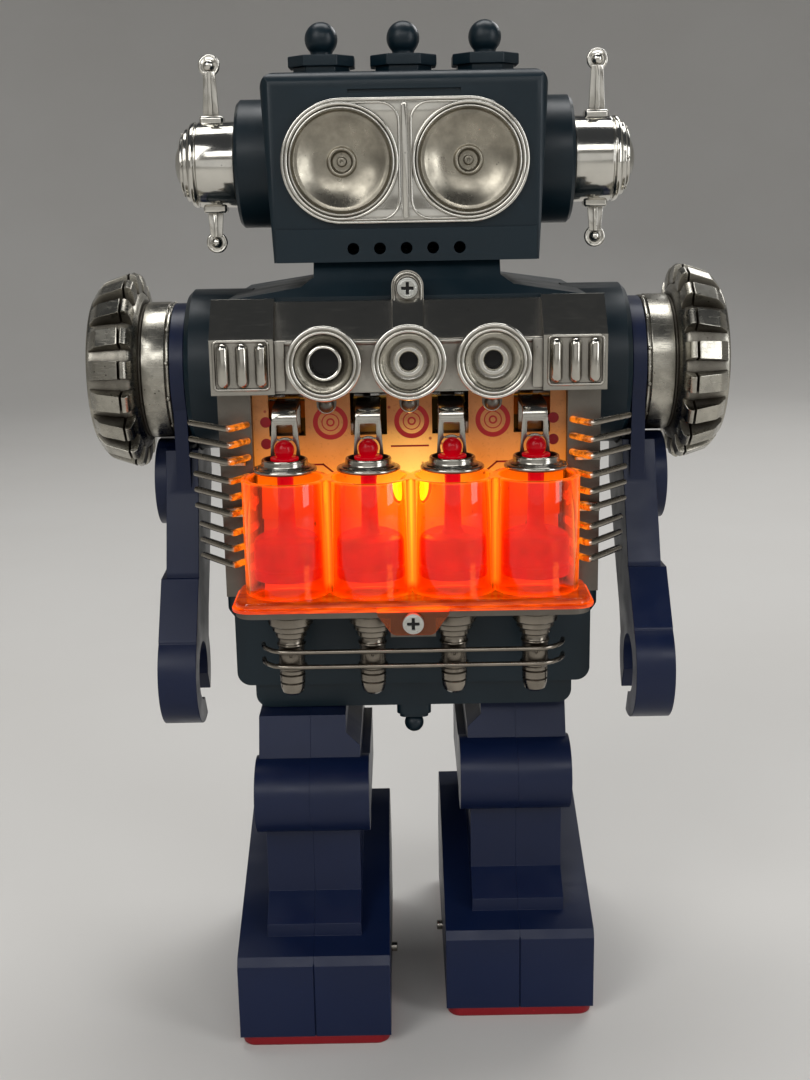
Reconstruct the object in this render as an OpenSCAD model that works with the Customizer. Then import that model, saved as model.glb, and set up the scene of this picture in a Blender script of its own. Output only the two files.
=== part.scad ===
// Walking engine robot: a battery toy with a lit four-cylinder engine in its chest.
// Millimetres. The front is -Y, +X is the robot's left side, the soles stand on Z = 0.
// Depths in the modules are measured from the vertical plane of the shoulder axis;
// datum() then moves each piece so that the footprint is centred on the origin.

/* [Whole robot] */
// Distance of the shoulder axis behind the middle of the footprint
axis_y = 13; // [12.75:0.25:13.25]
// Wall thickness of the moulded shells
wall = 2.2; // [1.8:0.1:2.6]
// Gap left round everything that moves
gap = 0.3; // [0.3:0.1:0.5]

/* [Head] */
// Height of the underside of the head
head_z = 221; // [219:0.5:223]
// Half width of the head at its bottom edge
head_bottom_hw = 36; // [34:0.5:37]
// Half width of the head at its top corners
head_top_hw = 38.3; // [37:0.1:39]
// Height of the head from its underside to its top
head_h = 49.5; // [48:0.5:51]
// Depth of the face in front of the shoulder axis
face_y = 30; // [28:0.5:31]
// Height of the chin strip
chin_h = 8.8; // [7:0.2:10]
// Distance of each eye centre from the middle
eye_x = 17; // [16.8:0.1:18]
// Height of the eye centres above the underside of the head
eye_rise = 26.3; // [25:0.1:28]
// Radius of the chrome bezel round each eye
bezel_r = 16.3; // [15.5:0.1:16.5]
// Radius of the balls on the head knobs
knob_r = 4.5; // [4:0.1:5]
// Pitch of the three head knobs and of the three intake horns
triple_pitch = 22.3; // [21.5:0.1:23]
// Radius of the ear collars
collar_r = 17.8; // [17:0.1:18.5]
// Radius of the chrome ear pods
pod_r = 12; // [11:0.1:13]

/* [Engine] */
// Pitch of the four cylinders
bore_pitch = 22.4; // [22:0.1:23]
// Outer radius of a cylinder
tube_r = 11.8; // [11.6:0.1:12]
// Inner radius of a cylinder
tube_bore_r = 10.2; // [9.8:0.1:10.4]
// Depth of the cylinder axes in front of the shoulder axis
bore_y = 49; // [48.5:0.1:49.5]
// Height of the top of the cylinders
tube_top_z = 165.5; // [164:0.5:166]
// Height of the tray that the cylinders stand on
tray_z = 131.7; // [131:0.1:132]
// Piston radius
piston_r = 9.1; // [8.5:0.1:9.3]
// Half width of the chrome engine frame
frame_hw = 52.8; // [52:0.1:53]
// Number of cooling fins in each group
fins_per_group = 3; // [2:1:3]
// Outer radius of the intake horns
horn_r = 10; // [9:0.1:10.5]

/* [Body] */
// Half width of the chest
chest_hw = 53; // [52.8:0.1:54]
// Depth of the chest each way from the shoulder axis
chest_y = 33; // [33:0.5:34]
// Height of the underside of the abdomen
belly_z = 101; // [100.5:0.5:101.5]
// Height of the shoulder axis
shoulder_z = 189; // [188:0.5:190]
// Radius of the shoulder bosses
boss_r = 23.5; // [22:0.5:24]

/* [Arms] */
// Swing of each arm from hanging straight, forwards on the left and back on the right
arm_rest_swing = 3; // [0:0.5:4]
// Radius of the chrome shoulder drums
drum_r = 20; // [19:0.5:21]
// Radius of the lugged shoulder wheels
wheel_r = 28.8; // [28:0.2:29.2]
// Number of lugs on a shoulder wheel
wheel_lugs = 18; // [12:1:20]
// Outer radius of the hand's claw
claw_r = 15.5; // [14.5:0.5:16]
// Inner radius of the hand's claw
claw_bore_r = 8.5; // [7:0.5:9]

/* [Legs] */
// Distance of each leg's seam from the middle
leg_x = 30; // [29.5:0.25:30.5]
// Stride: how far each leg stands in front of or behind its middle place
stride = 6.5; // [4:0.5:6.5]
// Half width of the boots
boot_hw = 21.8; // [21:0.1:22]
// Depth of the toe in front of the leg's own middle
toe_y = 53; // [52:0.5:54]
// Depth of the heel behind the leg's own middle
heel_y = 33; // [31:0.5:34]
// Thickness of the soles
sole_t = 3; // [2.5:0.1:3.5]
// Radius of the knee drum
knee_r = 11; // [10:0.5:11.5]
// Radius of the walking rollers
roller_r = 7; // [6.5:0.1:7.2]

/* [Hidden] */
$fn = 64;

left = 1;
right = -1;
slate = [0.10, 0.20, 0.27];
navy = [0.06, 0.10, 0.30];
chrome = [0.78, 0.77, 0.74];

// Head
head_top_z = head_z + head_h;
eye_z = head_z + eye_rise;
head_back_y = 28;
head_corner = 4;
head_side_hw = head_top_hw + 0.3;
head_brow_z = head_top_z + 0.1 - head_corner;
ear_z = eye_z + 0.3;
pod_x = 47.6;
collar_x = pod_x - gap;

// Engine
bezel_t = 2.4;
frame_y = 44;
frame_z = 187.3;
frame_top_z = 211;
horn_z = 196;
horn_seat_r = 5.9;
card_y = 36.5;
card_t = 0.8;
strip_x = 43;
piston_z = 138.4;
ball_z = 173;
top_screw_z = 214.3;
low_screw_z = 128.9;
screw_hole_r = 1.35;
screw_boss_r = 4;
cylinder_xs = [for (i = [-1.5:1:1.5]) i * bore_pitch];
rocker_y = -29;
rocker_z = 172;
collar_z = 167.6;
lamp_z = 157;
lamp_y = 37.2;
lamp_r = 3.4;

// Chest
belly_hw = chest_hw - 2;
belly_corner = 4;
waist_z = 123;
boss_x = 63.5;
hip_hw = 46;
hip_z = 93.5;
door_hw = 45;
door_z = [129, 195.5];
door_axis_z = door_z[0] + 1;

// Arms
arm_disc_x = boss_x + 0.5;
drum_x = 68;
wheel_x = 77;
arm_x = [62, 73];
shaft_r = 3.5;
bearing_gap = 0.05;

// Legs
thigh_top_z = 93.2;
stem_x = [24, 36];
stem_z = 127;
yoke_h = 8;
knee_y = -35;
knee_z = 71;
roller_ys = [-11, 20];
axle_r = 1.5;
boot_side_x = leg_x - boot_hw + gap;
axle_tip_x = 6.4;

// Gear train: crank, idler and camshaft lie on one line that leans forward.
// The tooth counts fit the distances between the shafts.
gear_m = 0.8;
crank_n = 32;
idler_n = 54;
cam_n = 26;
small_n = 12;
large_n = 30;
pinion_n = 10;
gear_lean = 13;
crank_z = 118;
gear_t = 2.5;
plate_x = 15.6;
plate_t = 1.5;
upper_x = -10.8;
lower_x = -13.8;
crank_idler = gear_m * (crank_n + idler_n) / 2;
idler_cam = gear_m * (idler_n + cam_n) / 2;
crank_small = gear_m * (crank_n + small_n) / 2;
large_pinion = gear_m * (large_n + pinion_n) / 2;

function mirror_x(pts) = [for (i = [len(pts) - 1:-1:0]) [-pts[i].x, pts[i].y]];
function both_halves(pts) = concat(pts, mirror_x(pts));

module datum() { translate([0, axis_y, 0]) children(); }
module on_side(side) { mirror([side < 0 ? 1 : 0, 0, 0]) children(); }
module both_sides() { for (side = [left, right]) on_side(side) children(); }

// A block between two places on each axis
module block(x, y, z) {
    translate([x[0], y[0], z[0]]) cube([x[1] - x[0], y[1] - y[0], z[1] - z[0]]);
}
// Round bars along X, Y and Z
module bar_x(r, x, y, z) {
    translate([x[0], y, z]) rotate([0, 90, 0]) cylinder(r = r, h = x[1] - x[0]);
}
module bar_y(r, x, y, z) {
    translate([x, y[1], z]) rotate([90, 0, 0]) cylinder(r = r, h = y[1] - y[0]);
}
module bar_z(r, x, y, z) {
    translate([x, y, z[0]]) cylinder(r = r, h = z[1] - z[0]);
}
// A side outline (depth, height) swept along X
module from_side(x) {
    translate([x[0], 0, 0]) rotate([90, 0, 90]) linear_extrude(x[1] - x[0]) children();
}
// A front outline (x, height) swept along Y
module from_front(y) {
    translate([0, y[1], 0]) rotate([90, 0, 0]) linear_extrude(y[1] - y[0]) children();
}
// A plan outline (x, depth) swept along Z
module from_above(z) {
    translate([0, 0, z[0]]) linear_extrude(z[1] - z[0]) children();
}
module rounded_rect(x, y, r) {
    translate([x[0] + r, y[0]]) square([x[1] - x[0] - 2 * r, y[1] - y[0]]);
    translate([x[0], y[0] + r]) square([x[1] - x[0], y[1] - y[0] - 2 * r]);
    for (cx = [x[0] + r, x[1] - r], cy = [y[0] + r, y[1] - r]) translate([cx, cy]) circle(r);
}
// An outline whose cut-off corners are filled up to round ones by circles that touch both sides
module round_cornered(outline, centres, r) {
    polygon(outline);
    for (c = centres) translate(c) circle(r);
}
// A turned piece from its (radius, height) outline, axis along +X or towards the front
module turned_x(x, y, z) {
    translate([x, y, z]) rotate([0, 90, 0]) rotate_extrude() children();
}
module turned_front(x, y, z) {
    translate([x, y, z]) rotate([90, 0, 0]) rotate_extrude() children();
}
// Right-hand half of a 2D outline, for turning
module half_plane(size) {
    intersection() {
        children();
        translate([0, -size]) square([size, 2 * size]);
    }
}

// ---- Head ----

module head_form() {
    intersection() {
        from_front([-face_y, head_back_y]) round_cornered(both_halves([
            [head_bottom_hw, head_z], [head_top_hw, head_top_z - head_corner],
            [head_top_hw - head_corner, head_top_z]
        ]), [for (side = [left, right]) [side * (head_top_hw - head_corner), head_top_z - head_corner]],
            head_corner);
        from_above([head_z - 1, head_top_z + 1]) round_cornered(both_halves([
            [head_side_hw - head_corner, -face_y], [head_side_hw, head_corner - face_y],
            [head_side_hw, head_back_y - head_corner], [head_side_hw - head_corner, head_back_y]
        ]), [for (side = [left, right], y = [head_corner - face_y, head_back_y - head_corner])
            [side * (head_side_hw - head_corner), y]], head_corner);
        from_side([-50, 50]) round_cornered([
            [-face_y, head_z - 1], [-face_y, head_brow_z], [head_corner - face_y, head_brow_z + head_corner],
            [head_back_y - head_corner, head_brow_z + head_corner], [head_back_y, head_brow_z],
            [head_back_y, head_z - 1]
        ], [for (y = [head_corner - face_y, head_back_y - head_corner]) [y, head_brow_z]], head_corner);
    }
    both_sides() turned_x(0, 0, ear_z) polygon([
        [0, 30], [collar_r, 30], [collar_r, collar_x - 1], [collar_r - 1, collar_x], [0, collar_x]
    ]);
}

module head_hollow() {
    block([wall - head_bottom_hw, head_bottom_hw - wall], [wall - face_y, head_back_y - wall],
          [head_z + wall, head_top_z - wall]);
    both_sides() bar_x(collar_r - wall, [30, collar_x - wall], 0, ear_z);
    both_sides() bar_x(5 + bearing_gap, [40, collar_x + 1], 0, ear_z);
}

module head_front() {
    color(slate) datum() difference() {
        union() {
            intersection() {
                head_form();
                block([-60, 60], [-60, 0], [0, 300]);
            }
            block([-35.3, 35.3], [-face_y - 0.8, -face_y + 1], [head_z, head_z + chin_h]);
        }
        head_hollow();
        for (i = [-2:2]) bar_y(1.6, i * 7.2, [-face_y - 2, 0], head_z + 3.5);
        for (x = [-eye_x, eye_x]) bar_y(12.6, x, [-face_y - 1, 0], eye_z);
        block([-15, 15], [-face_y - 1, 0.8 - face_y], [eye_z + 17.6, eye_z + 18.5]);
    }
}

module head_rear() {
    color(slate) datum() difference() {
        intersection() {
            head_form();
            block([-60, 60], [0, 60], [0, 300]);
        }
        head_hollow();
        for (x = [-28, 28]) bar_y(screw_hole_r, x, [0, 60], eye_z);
    }
}

module eye_bezel() {
    color(chrome) datum() difference() {
        union() {
            from_front([-face_y - bezel_t, -face_y]) union() {
                for (x = [-eye_x, eye_x]) translate([x, eye_z]) circle(bezel_r);
                translate([-eye_x, eye_z - bezel_r]) square([2 * eye_x, 2 * bezel_r]);
            }
            for (x = [-eye_x, eye_x]) turned_front(x, -face_y - bezel_t, eye_z) polygon([
                [13.9, -0.5], [15.4, -0.5], [15.4, 1], [14.9, 1.8], [14.4, 1.8], [13.9, 1]
            ]);
            block([-1, 1], [-face_y - bezel_t - 0.8, -face_y - 1], [eye_z - 15, eye_z + 15]);
        }
        for (x = [-eye_x, eye_x]) bar_y(13.9, x, [-face_y - 9, 1 - face_y], eye_z);
    }
}

module eye_dishes() {
    color([0.62, 0.60, 0.55]) datum() for (x = [-eye_x, eye_x])
        turned_front(x, -face_y, eye_z) polygon([
            [0, -4.6], [3.4, -4.6], [12.4, 0], [13.8, 0.2], [13.8, 3], [13.2, 3.4],
            [12.6, 3], [12.2, 1.8], [9, 0.6], [5.5, -1.1], [3.4, -2.2], [3.1, -0.4],
            [2.3, -0.2], [2, -1], [1.2, -1], [1.1, -2.4], [0, -2.4]
        ]);
}

module head_knobs() {
    color(slate) datum() for (i = [-1:1]) translate([i * triple_pitch, -14, head_top_z]) {
        from_above([0, 1.8]) polygon([
            [-3.9, -9], [3.9, -9], [7.6, -4], [7.6, 4], [3.9, 9], [-3.9, 9], [-7.6, 4], [-7.6, -4]
        ]);
        from_above([1.8, 4.7]) polygon([
            [-4.5, -10], [4.5, -10], [9, -4.5], [9, 4.5],
            [4.5, 10], [-4.5, 10], [-9, 4.5], [-9, -4.5]
        ]);
        bar_z(3, 0, 0, [3.5, 7]);
        translate([0, 0, 9.4]) sphere(knob_r);
    }
}

module ear_pod(side) {
    color(chrome) datum() on_side(side) {
        turned_x(0, 0, ear_z) polygon([
            [0, 41.2], [7, 41.2], [7, 44.6], [5, 44.6], [5, pod_x], [pod_r - 0.4, pod_x],
            [pod_r, pod_x + 0.6], [pod_r, 59.3], [pod_r - 1, 60.3], [10.2, 60.3], [10.2, 62.2],
            [8.8, 62.2], [8.8, 63.2], [5.4, 63.2], [4.8, 64.6], [3, 65.6], [0, 65.9]
        ]);
        block([51.5, 58], [-3, 3], [ear_z - 13.5, ear_z + 13.5]);
    }
}

module antennas(side) {
    color(chrome) datum() on_side(side) translate([55, 0, ear_z]) {
        antenna(13.5, 27.2);
        rotate([180, 0, 0]) antenna(13.5, 21.8);
    }
}

// One ridged arm with a rimmed ball on its tip
module antenna(from, tip) {
    from_front([-1, 1]) polygon([[-2.2, from], [2.2, from], [1.5, tip - 1], [-1.5, tip - 1]]);
    block([-0.5, 0.5], [-1.6, 1.6], [from, tip - 2]);
    translate([0, 0, tip]) sphere(2.5);
    bar_y(3.1, 0, [-0.6, 0.6], tip);
}

// ---- Chest ----

module torso_form() {
    intersection() {
        from_front([-chest_y, chest_y]) round_cornered(both_halves([
            [belly_hw - belly_corner, belly_z], [belly_hw, belly_z + belly_corner],
            [belly_hw, waist_z - 1], [chest_hw, waist_z + 1], [chest_hw, 206], [49, 211.5],
            [29, 214.5], [25.5, 217], [25.5, head_z]
        ]), [for (side = [left, right]) [side * (belly_hw - belly_corner), belly_z + belly_corner]],
            belly_corner);
        from_above([belly_z, head_z]) rounded_rect([-chest_hw, chest_hw], [-chest_y, chest_y], 3);
        from_side([-70, 70]) polygon([
            [-chest_y, belly_z], [-chest_y, 212], [3 - chest_y, 216], [-27, head_z],
            [25, head_z], [chest_y - 3, 216], [chest_y, 212], [chest_y, belly_z]
        ]);
    }
    both_sides() turned_x(0, 0, shoulder_z) polygon([
        [0, 45], [boss_r, 45], [boss_r, boss_x - 1.5], [boss_r - 1.5, boss_x], [0, boss_x]
    ]);
}

module torso_hollow() {
    intersection() {
        from_front([wall - chest_y, chest_y - wall]) polygon(both_halves([
            [belly_hw - wall, belly_z - 1], [belly_hw - wall, waist_z - 1],
            [chest_hw - wall, waist_z + 1], [chest_hw - wall, 205], [47.5, 209],
            [28, 212], [23.2, 215], [23.2, head_z + 1]
        ]));
        from_side([-70, 70]) polygon([
            [wall - chest_y, belly_z - 1], [wall - chest_y, 211], [-27.6, 215],
            [-24.6, head_z + 1], [22.6, head_z + 1], [27.6, 215],
            [chest_y - wall, 211], [chest_y - wall, belly_z - 1]
        ]);
    }
    both_sides() bar_x(boss_r - wall, [chest_hw - 4, boss_x - wall], 0, shoulder_z);
    both_sides() bar_x(shaft_r + bearing_gap, [boss_x - 4, boss_x + 1], 0, shoulder_z);
}

module torso_front() {
    color(slate) datum() difference() {
        union() {
            intersection() {
                torso_form();
                block([-70, 70], [-70, 0], [0, 300]);
            }
            bar_y(screw_boss_r, 0, [-36, -28], top_screw_z);
        }
        torso_hollow();
        block([-41, 41], [-chest_y - 1, 3 - chest_y], [147, frame_z]);
        bar_y(screw_hole_r, 0, [-40, -20], top_screw_z);
    }
}

module torso_rear() {
    color(slate) datum() difference() {
        intersection() {
            torso_form();
            block([-70, 70], [0, 70], [0, 300]);
        }
        torso_hollow();
        block([-door_hw - 0.4, door_hw + 0.4], [20, 60], [door_z[0] - 0.8, door_z[1] + 0.4]);
        for (x = [-46, 46]) bar_y(screw_hole_r, x, [20, 60], 108);
        for (x = [-38, 38]) bar_y(screw_hole_r, x, [20, 60], 203);
        for (i = [-3:3]) block([i * 5 - 1, i * 5 + 1], [20, 60], [106, 118]);
    }
}

module battery_door() {
    color(slate) datum() {
        block([-door_hw, door_hw], [chest_y - 1.4, chest_y + 0.6], door_z);
        bar_x(1.3, [-door_hw, door_hw], chest_y - 0.4, door_axis_z);
        for (i = [0:4]) block([-12, 12], [chest_y, chest_y + 1.4], [184 + 2 * i, 185 + 2 * i]);
    }
}

module hip_plate() {
    color(slate) datum() difference() {
        union() {
            from_front([-31, 31]) round_cornered(both_halves([
                [hip_hw - 4, hip_z], [hip_hw, hip_z + 4], [hip_hw, belly_z]
            ]), [[hip_hw - 4, hip_z + 4], [4 - hip_hw, hip_z + 4]], 4);
            // Guard round the switch
            from_above([90.5, hip_z + 1]) rounded_rect([-5, 5], [-31, -18.5], 2);
            from_above([89.3, 91]) difference() {
                rounded_rect([-4.2, 4.2], [-30.2, -19.3], 1.6);
                rounded_rect([-3, 3], [-29, -20.5], 1);
            }
        }
        both_sides() block([stem_x[0] - 0.5, stem_x[1] + 0.5], [-9.5 - stride, 9.5 + stride],
                           [90, belly_z + 1]);
        block([-1.8, 1.8], [-30, -20.5], [90, belly_z + 1]);
    }
}

module switch_knob() {
    color(slate) datum() translate([0, -27.5, 0]) {
        translate([0, 0, 86.8]) sphere(2.8);
        bar_z(1.3, 0, 0, [87, belly_z + 1.5]);
        block([-4, 4], [-2.8, 3.5], [belly_z + gap, belly_z + 2.3]);
    }
}

// ---- Engine ----

module engine_frame() {
    color(chrome) datum() difference() {
        union() {
            // Manifold across the top, with raised blocks at its ends
            from_side([-frame_hw, frame_hw]) polygon([
                [-frame_y, frame_z], [-frame_y, 200.4], [1 - frame_y, 201.4],
                [-36.8, frame_top_z], [-chest_y, frame_top_z], [-chest_y, frame_z]
            ]);
            both_sides() from_side([35.8, frame_hw]) polygon([
                [-frame_y - 1.8, frame_z], [-frame_y - 1.8, 202], [-frame_y - 1, 202.8],
                [-37.2, frame_top_z + 1], [-36, frame_top_z + 1], [-36, frame_z]
            ]);
            // Three ribs on each end block
            both_sides() for (i = [-1:1]) translate([44.2 + 5.1 * i, -frame_y - 1.8, 195.2])
                rotate_extrude() half_plane(9) union() {
                    square([3.2, 8.4], center = true);
                    for (z = [-4.2, 4.2]) translate([0, z]) circle(1.6);
                }
            // Bead along the front edge
            bar_x(0.8, [-36, 36], 0.4 - frame_y, 200.7);
            // Screw tab and its strap down the slope
            from_front([-37.6, -36]) union() {
                translate([-4.3, 209]) square([8.6, 5.7]);
                translate([0, 214.7]) circle(4.3);
            }
            from_side([-4.1, 4.1]) polygon([
                [-frame_y - 0.6, 200.4], [-frame_y + 0.2, 202], [-37.6, 211.6], [-36, 211.6],
                [-36, 209], [-42, 200.4]
            ]);
            // Side strips with ledges for the card
            both_sides() {
                block([strip_x, 52], [-40, -chest_y], [129.9, frame_z + 0.5]);
                block([41.2, strip_x + 0.5], [card_t - card_y, -chest_y], [150, frame_z + 0.5]);
            }
            // Shelf under the tray, with the lower screw boss
            from_above([129.9, tray_z]) rounded_rect([-47.4, 47.4], [-62.5, -chest_y], 5);
            block([-6, 6], [-62.5, -58], [124.5, 130.5]);
            // Beads under the horns
            for (i = [-1:1]) translate([i * triple_pitch, -42.4, 0]) {
                bar_z(1, 0, 0, [185, frame_z + 1]);
                translate([0, 0, 184]) sphere(2.2);
                bar_y(2.7, 0, [-0.5, 0.5], 184.6);
            }
        }
        // Hollow behind the manifold
        from_side([1.6 - frame_hw, frame_hw - 1.6]) polygon([
            [1.6 - frame_y, frame_z + 1.6], [1.6 - frame_y, 200], [-36.4, frame_top_z - 1.6],
            [1 - chest_y, frame_top_z - 1.6], [1 - chest_y, frame_z - 2],
            [-card_y - 1.6, frame_z - 2], [-card_y - 1.6, frame_z + 1.6]
        ]);
        // Seats of the horns, of the top screw boss, and the screw holes
        for (i = [-1:1]) bar_y(horn_seat_r, i * triple_pitch, [-frame_y - 4, -frame_y], horn_z);
        bar_y(screw_boss_r, 0, [-36, 1 - chest_y], top_screw_z);
        for (z = [low_screw_z, top_screw_z]) bar_y(screw_hole_r, 0, [-70, -20], z);
    }
}

module intake_horns() {
    color(chrome) datum() for (i = [-1:1]) {
        hole_r = i == -1 ? 3.6 : 2.5;
        turned_front(i * triple_pitch, -frame_y, horn_z) polygon([
            [hole_r, 0], [5.5, 0], [6.5, 3.6], [9, 5.2], [horn_r, 6.6], [horn_r, 8.2],
            [horn_r - 0.7, 9], [horn_r - 1.4, 8.2], [horn_r - 1.8, 7], [6.6, 5], [hole_r + 1.4, 3.4],
            [hole_r + 1, 4.6], [hole_r + 0.2, 4.6], [hole_r, 3.6]
        ]);
    }
}

module engine_card() {
    color([0.85, 0.55, 0.2]) datum() difference() {
        block([-strip_x, strip_x], [-card_y, card_t - card_y], [150, frame_z - 0.2]);
        for (x = cylinder_xs) block([x - 5, x + 5], [-card_y - 1, 2 - card_y], [174.5, frame_z]);
        bar_y(4.6, 0, [-card_y - 1, 2 - card_y], lamp_z);
    }
}

module cylinder_block() {
    floor_z = tray_z + 2.7;
    color([1, 0.45, 0.05, 0.6]) datum() difference() {
        union() {
            for (x = cylinder_xs) bar_z(tube_r, x, -bore_y, [tray_z + 1, tube_top_z]);
            from_above([tray_z, floor_z]) rounded_rect([-48.2, 48.2], [-64, -40.2], 5);
            from_above([tray_z, floor_z]) translate([0.5 - strip_x, -42]) square([2 * strip_x - 1, 4]);
            from_front([-64, -62.5]) {
                polygon(both_halves([
                    [4.4, 125.4], [5.6, 126.6], [9.5, tray_z - 0.6], [9.5, tray_z + 1]
                ]));
            }
        }
        for (x = cylinder_xs) bar_z(tube_bore_r, x, -bore_y, [floor_z, tube_top_z + 1]);
        bar_y(screw_hole_r, 0, [-70, -60], low_screw_z);
    }
}

module fins(side) {
    color(chrome) datum() on_side(side) {
        for (group = [0:2], fin = [0:fins_per_group - 1]) {
            z = 178.6 - 14.3 * group - 4.5 * fin;
            reach = 60.2 - 0.9 * group;
            from_above([z - 0.75, z + 0.75]) polygon([
                [reach, -34.2], [reach + 0.6, -35.6], [48.6, -48.6], [47.6, -48.4],
                [strip_x + 0.4, -40], [strip_x + 3, -40], [48.7, -45.6], [reach - 1.6, -34.2]
            ]);
        }
        block([strip_x + 1, strip_x + 3], [-42.5, -40], [136.5, 181]);
    }
}

module exhaust_stacks() {
    color(chrome) datum() {
        for (x = cylinder_xs) translate([x, -bore_y, 0]) rotate_extrude() polygon([
            [0, 129.9], [6.9, 129.9], [6.9, 127.6], [6.2, 127.2], [6.2, 125], [5.2, 124.6],
            [5.2, 123.2], [4.3, 122.8], [4.3, 121.4], [3.7, 121], [3.7, 113], [4, 112.6],
            [4, 111.6], [3.6, 111.2], [3.6, 106.4],
            [3.1, 105], [1.9, 104.1], [0, 103.8]
        ]);
        for (z = [114, 117.6]) from_above([z - 0.65, z + 0.65]) {
            translate([-33.6, -54]) square([67.2, 1.6]);
            both_sides_2d() translate([33.6, -45.2]) intersection() {
                difference() {
                    circle(8.8);
                    circle(7.2);
                }
                translate([-0.1, -20]) square([20, 20]);
            }
        }
    }
}
module both_sides_2d() {
    children();
    mirror([1, 0]) children();
}

module piston(n) {
    color([0.8, 0.05, 0.08]) datum() translate([cylinder_xs[n - 1], -bore_y, 0]) rotate_extrude()
        half_plane(200) union() {
            translate([0, piston_z]) square([piston_r, 12.1]);
            square_up(2.3, piston_z, ball_z);
            square_up(3.9, 170.4, 171.2);
            translate([0, ball_z]) circle(2.7);
        }
}
module square_up(r, from, to) { translate([0, from]) square([r, to - from]); }

module rocker(n) {
    color(chrome) datum() translate([cylinder_xs[n - 1], 0, 0]) difference() {
        union() {
            from_side([-4, 4]) polygon([
                [rocker_y - 1.4, rocker_z], [rocker_y + 1.4, rocker_z], [rocker_y + 1.2, 182.4],
                [-44.4, 182.4], [-45.4, 181.4], [-46, 169], [-44.4, 169], [-44, 180.8],
                [rocker_y - 1.4, 180.8]
            ]);
            bar_x(2.8, [-4, 4], rocker_y, rocker_z);
            bar_z(8, 0, -bore_y, [collar_z, collar_z + 1.4]);
            bar_z(6.2, 0, -bore_y, [collar_z + 1, collar_z + 3.6]);
        }
        bar_x(1.25, [-5, 5], rocker_y, rocker_z);
        bar_z(5.2, 0, -bore_y, [collar_z + 1.6, collar_z + 5]);
        bar_z(3.5, 0, -bore_y, [collar_z - 1, collar_z + 5]);
        block([-2.6, 2.6], [-50, -43], [174, 179]);
        bar_z(3.3, 0, -bore_y, [171, 177]);
    }
}

module rocker_shaft() {
    color("silver") datum() bar_x(1.2, [-42, 42], rocker_y, rocker_z);
}

module lamp() {
    color([1, 0.9, 0.6]) datum() turned_front(0, 0, lamp_z) half_plane(60) union() {
        translate([0, lamp_y]) circle(lamp_r);
        square_up(2.4, 28, 36);
    }
}

module lamp_socket() {
    color("saddlebrown") datum() difference() {
        union() {
            bar_y(4.4, 0, [-35, -26.5], lamp_z);
            bar_y(7, 0, [card_t - card_y, 1.4 - 35], lamp_z);
        }
        bar_y(2.5, 0, [-40, -28], lamp_z);
        bar_y(lamp_r + 0.1, 0, [-40, -lamp_y + lamp_r], lamp_z);
    }
}

module screw(x, y, z, head_r = 2.8) {
    bar_y(head_r, x, [y - 1.5, y], z);
    bar_y(1.3, x, [y - 0.5, y + 5], z);
}

module screws() {
    color("silver") datum() {
        difference() {
            union() {
                screw(0, -37.6, top_screw_z);
                screw(0, -64, low_screw_z);
            }
            for (y = [-37.6, -64], z = [low_screw_z, top_screw_z]) {
                block([-0.4, 0.4], [y - 2, y - 0.9], [z - 1.6, z + 1.6]);
                block([-1.6, 1.6], [y - 2, y - 0.9], [z - 0.4, z + 0.4]);
            }
        }
        rotate([0, 0, 180]) {
            for (x = [-46, 46]) screw(x, -chest_y, 108);
            for (x = [-38, 38]) screw(x, -chest_y, 203);
            for (x = [-28, 28]) screw(x, -head_back_y, eye_z);
        }
    }
}

// ---- Drive ----

// A spur gear along X, with one tooth at the given angle from +Y towards +Z
module gear(teeth, phase, bore) {
    pitch_r = gear_m * teeth / 2;
    tip_r = pitch_r + 0.7 * gear_m;
    root_r = pitch_r - 1.05 * gear_m;
    step = 360 / teeth;
    difference() {
        polygon([for (i = [0:teeth - 1], p = [
            [root_r, -0.32], [pitch_r, -0.2], [tip_r, -0.11],
            [tip_r, 0.11], [pitch_r, 0.2], [root_r, 0.32]
        ]) let (a = phase + step * (i + p[1])) [p[0] * cos(a), p[0] * sin(a)]]);
        if (bore > 0) circle(bore);
    }
}
// Moves children to a shaft of the leaning gear line
module on_gear_line(along, across = 0) {
    translate([0, 0, crank_z]) rotate([gear_lean, 0, 0]) translate([0, across, along]) children();
}
module gear_at(x, teeth, phase) { from_side([x, x + gear_t]) gear(teeth, phase, 0); }

module motor() {
    color("gray") datum() on_gear_line(large_pinion, crank_small) difference() {
        union() {
            bar_x(10, [-6.8, plate_x], 0, 0);
            bar_x(3, [-7.8, -6], 0, 0);
        }
        bar_x(1 + bearing_gap, [-9, -2], 0, 0);
    }
}

module motor_pinion() {
    color("gold") datum() on_gear_line(large_pinion, crank_small) {
        gear_at(lower_x, pinion_n, 270 + 180 / pinion_n);
        bar_x(1, [lower_x - 0.4, -2.5], 0, 0);
    }
}

module reduction_gear() {
    color("white") datum() on_gear_line(0, crank_small) {
        gear_at(lower_x, large_n, 90);
        gear_at(upper_x, small_n, 180 + 180 / small_n);
        bar_x(2.6, [lower_x, upper_x + gear_t], 0, 0);
        bar_x(axle_r, [-plate_x - plate_t, plate_x + plate_t], 0, 0);
    }
}

module crankshaft() {
    color("white") datum() on_gear_line(0) {
        gear_at(upper_x, crank_n, 90);
        bar_x(2, [-20, 20], 0, 0);
    }
    color("silver") datum() for (side = [left, right]) on_side(side) {
        bar_x(8.5, [17.6, 20], 0, crank_z);
        bar_x(axle_r, [19, 23.5], side * stride, crank_z);
    }
}

module idler_gear() {
    color("white") datum() on_gear_line(crank_idler) {
        gear_at(upper_x, idler_n, 270 + 180 / idler_n);
        bar_x(axle_r, [-plate_x - plate_t, plate_x + plate_t], 0, 0);
    }
}

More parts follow.
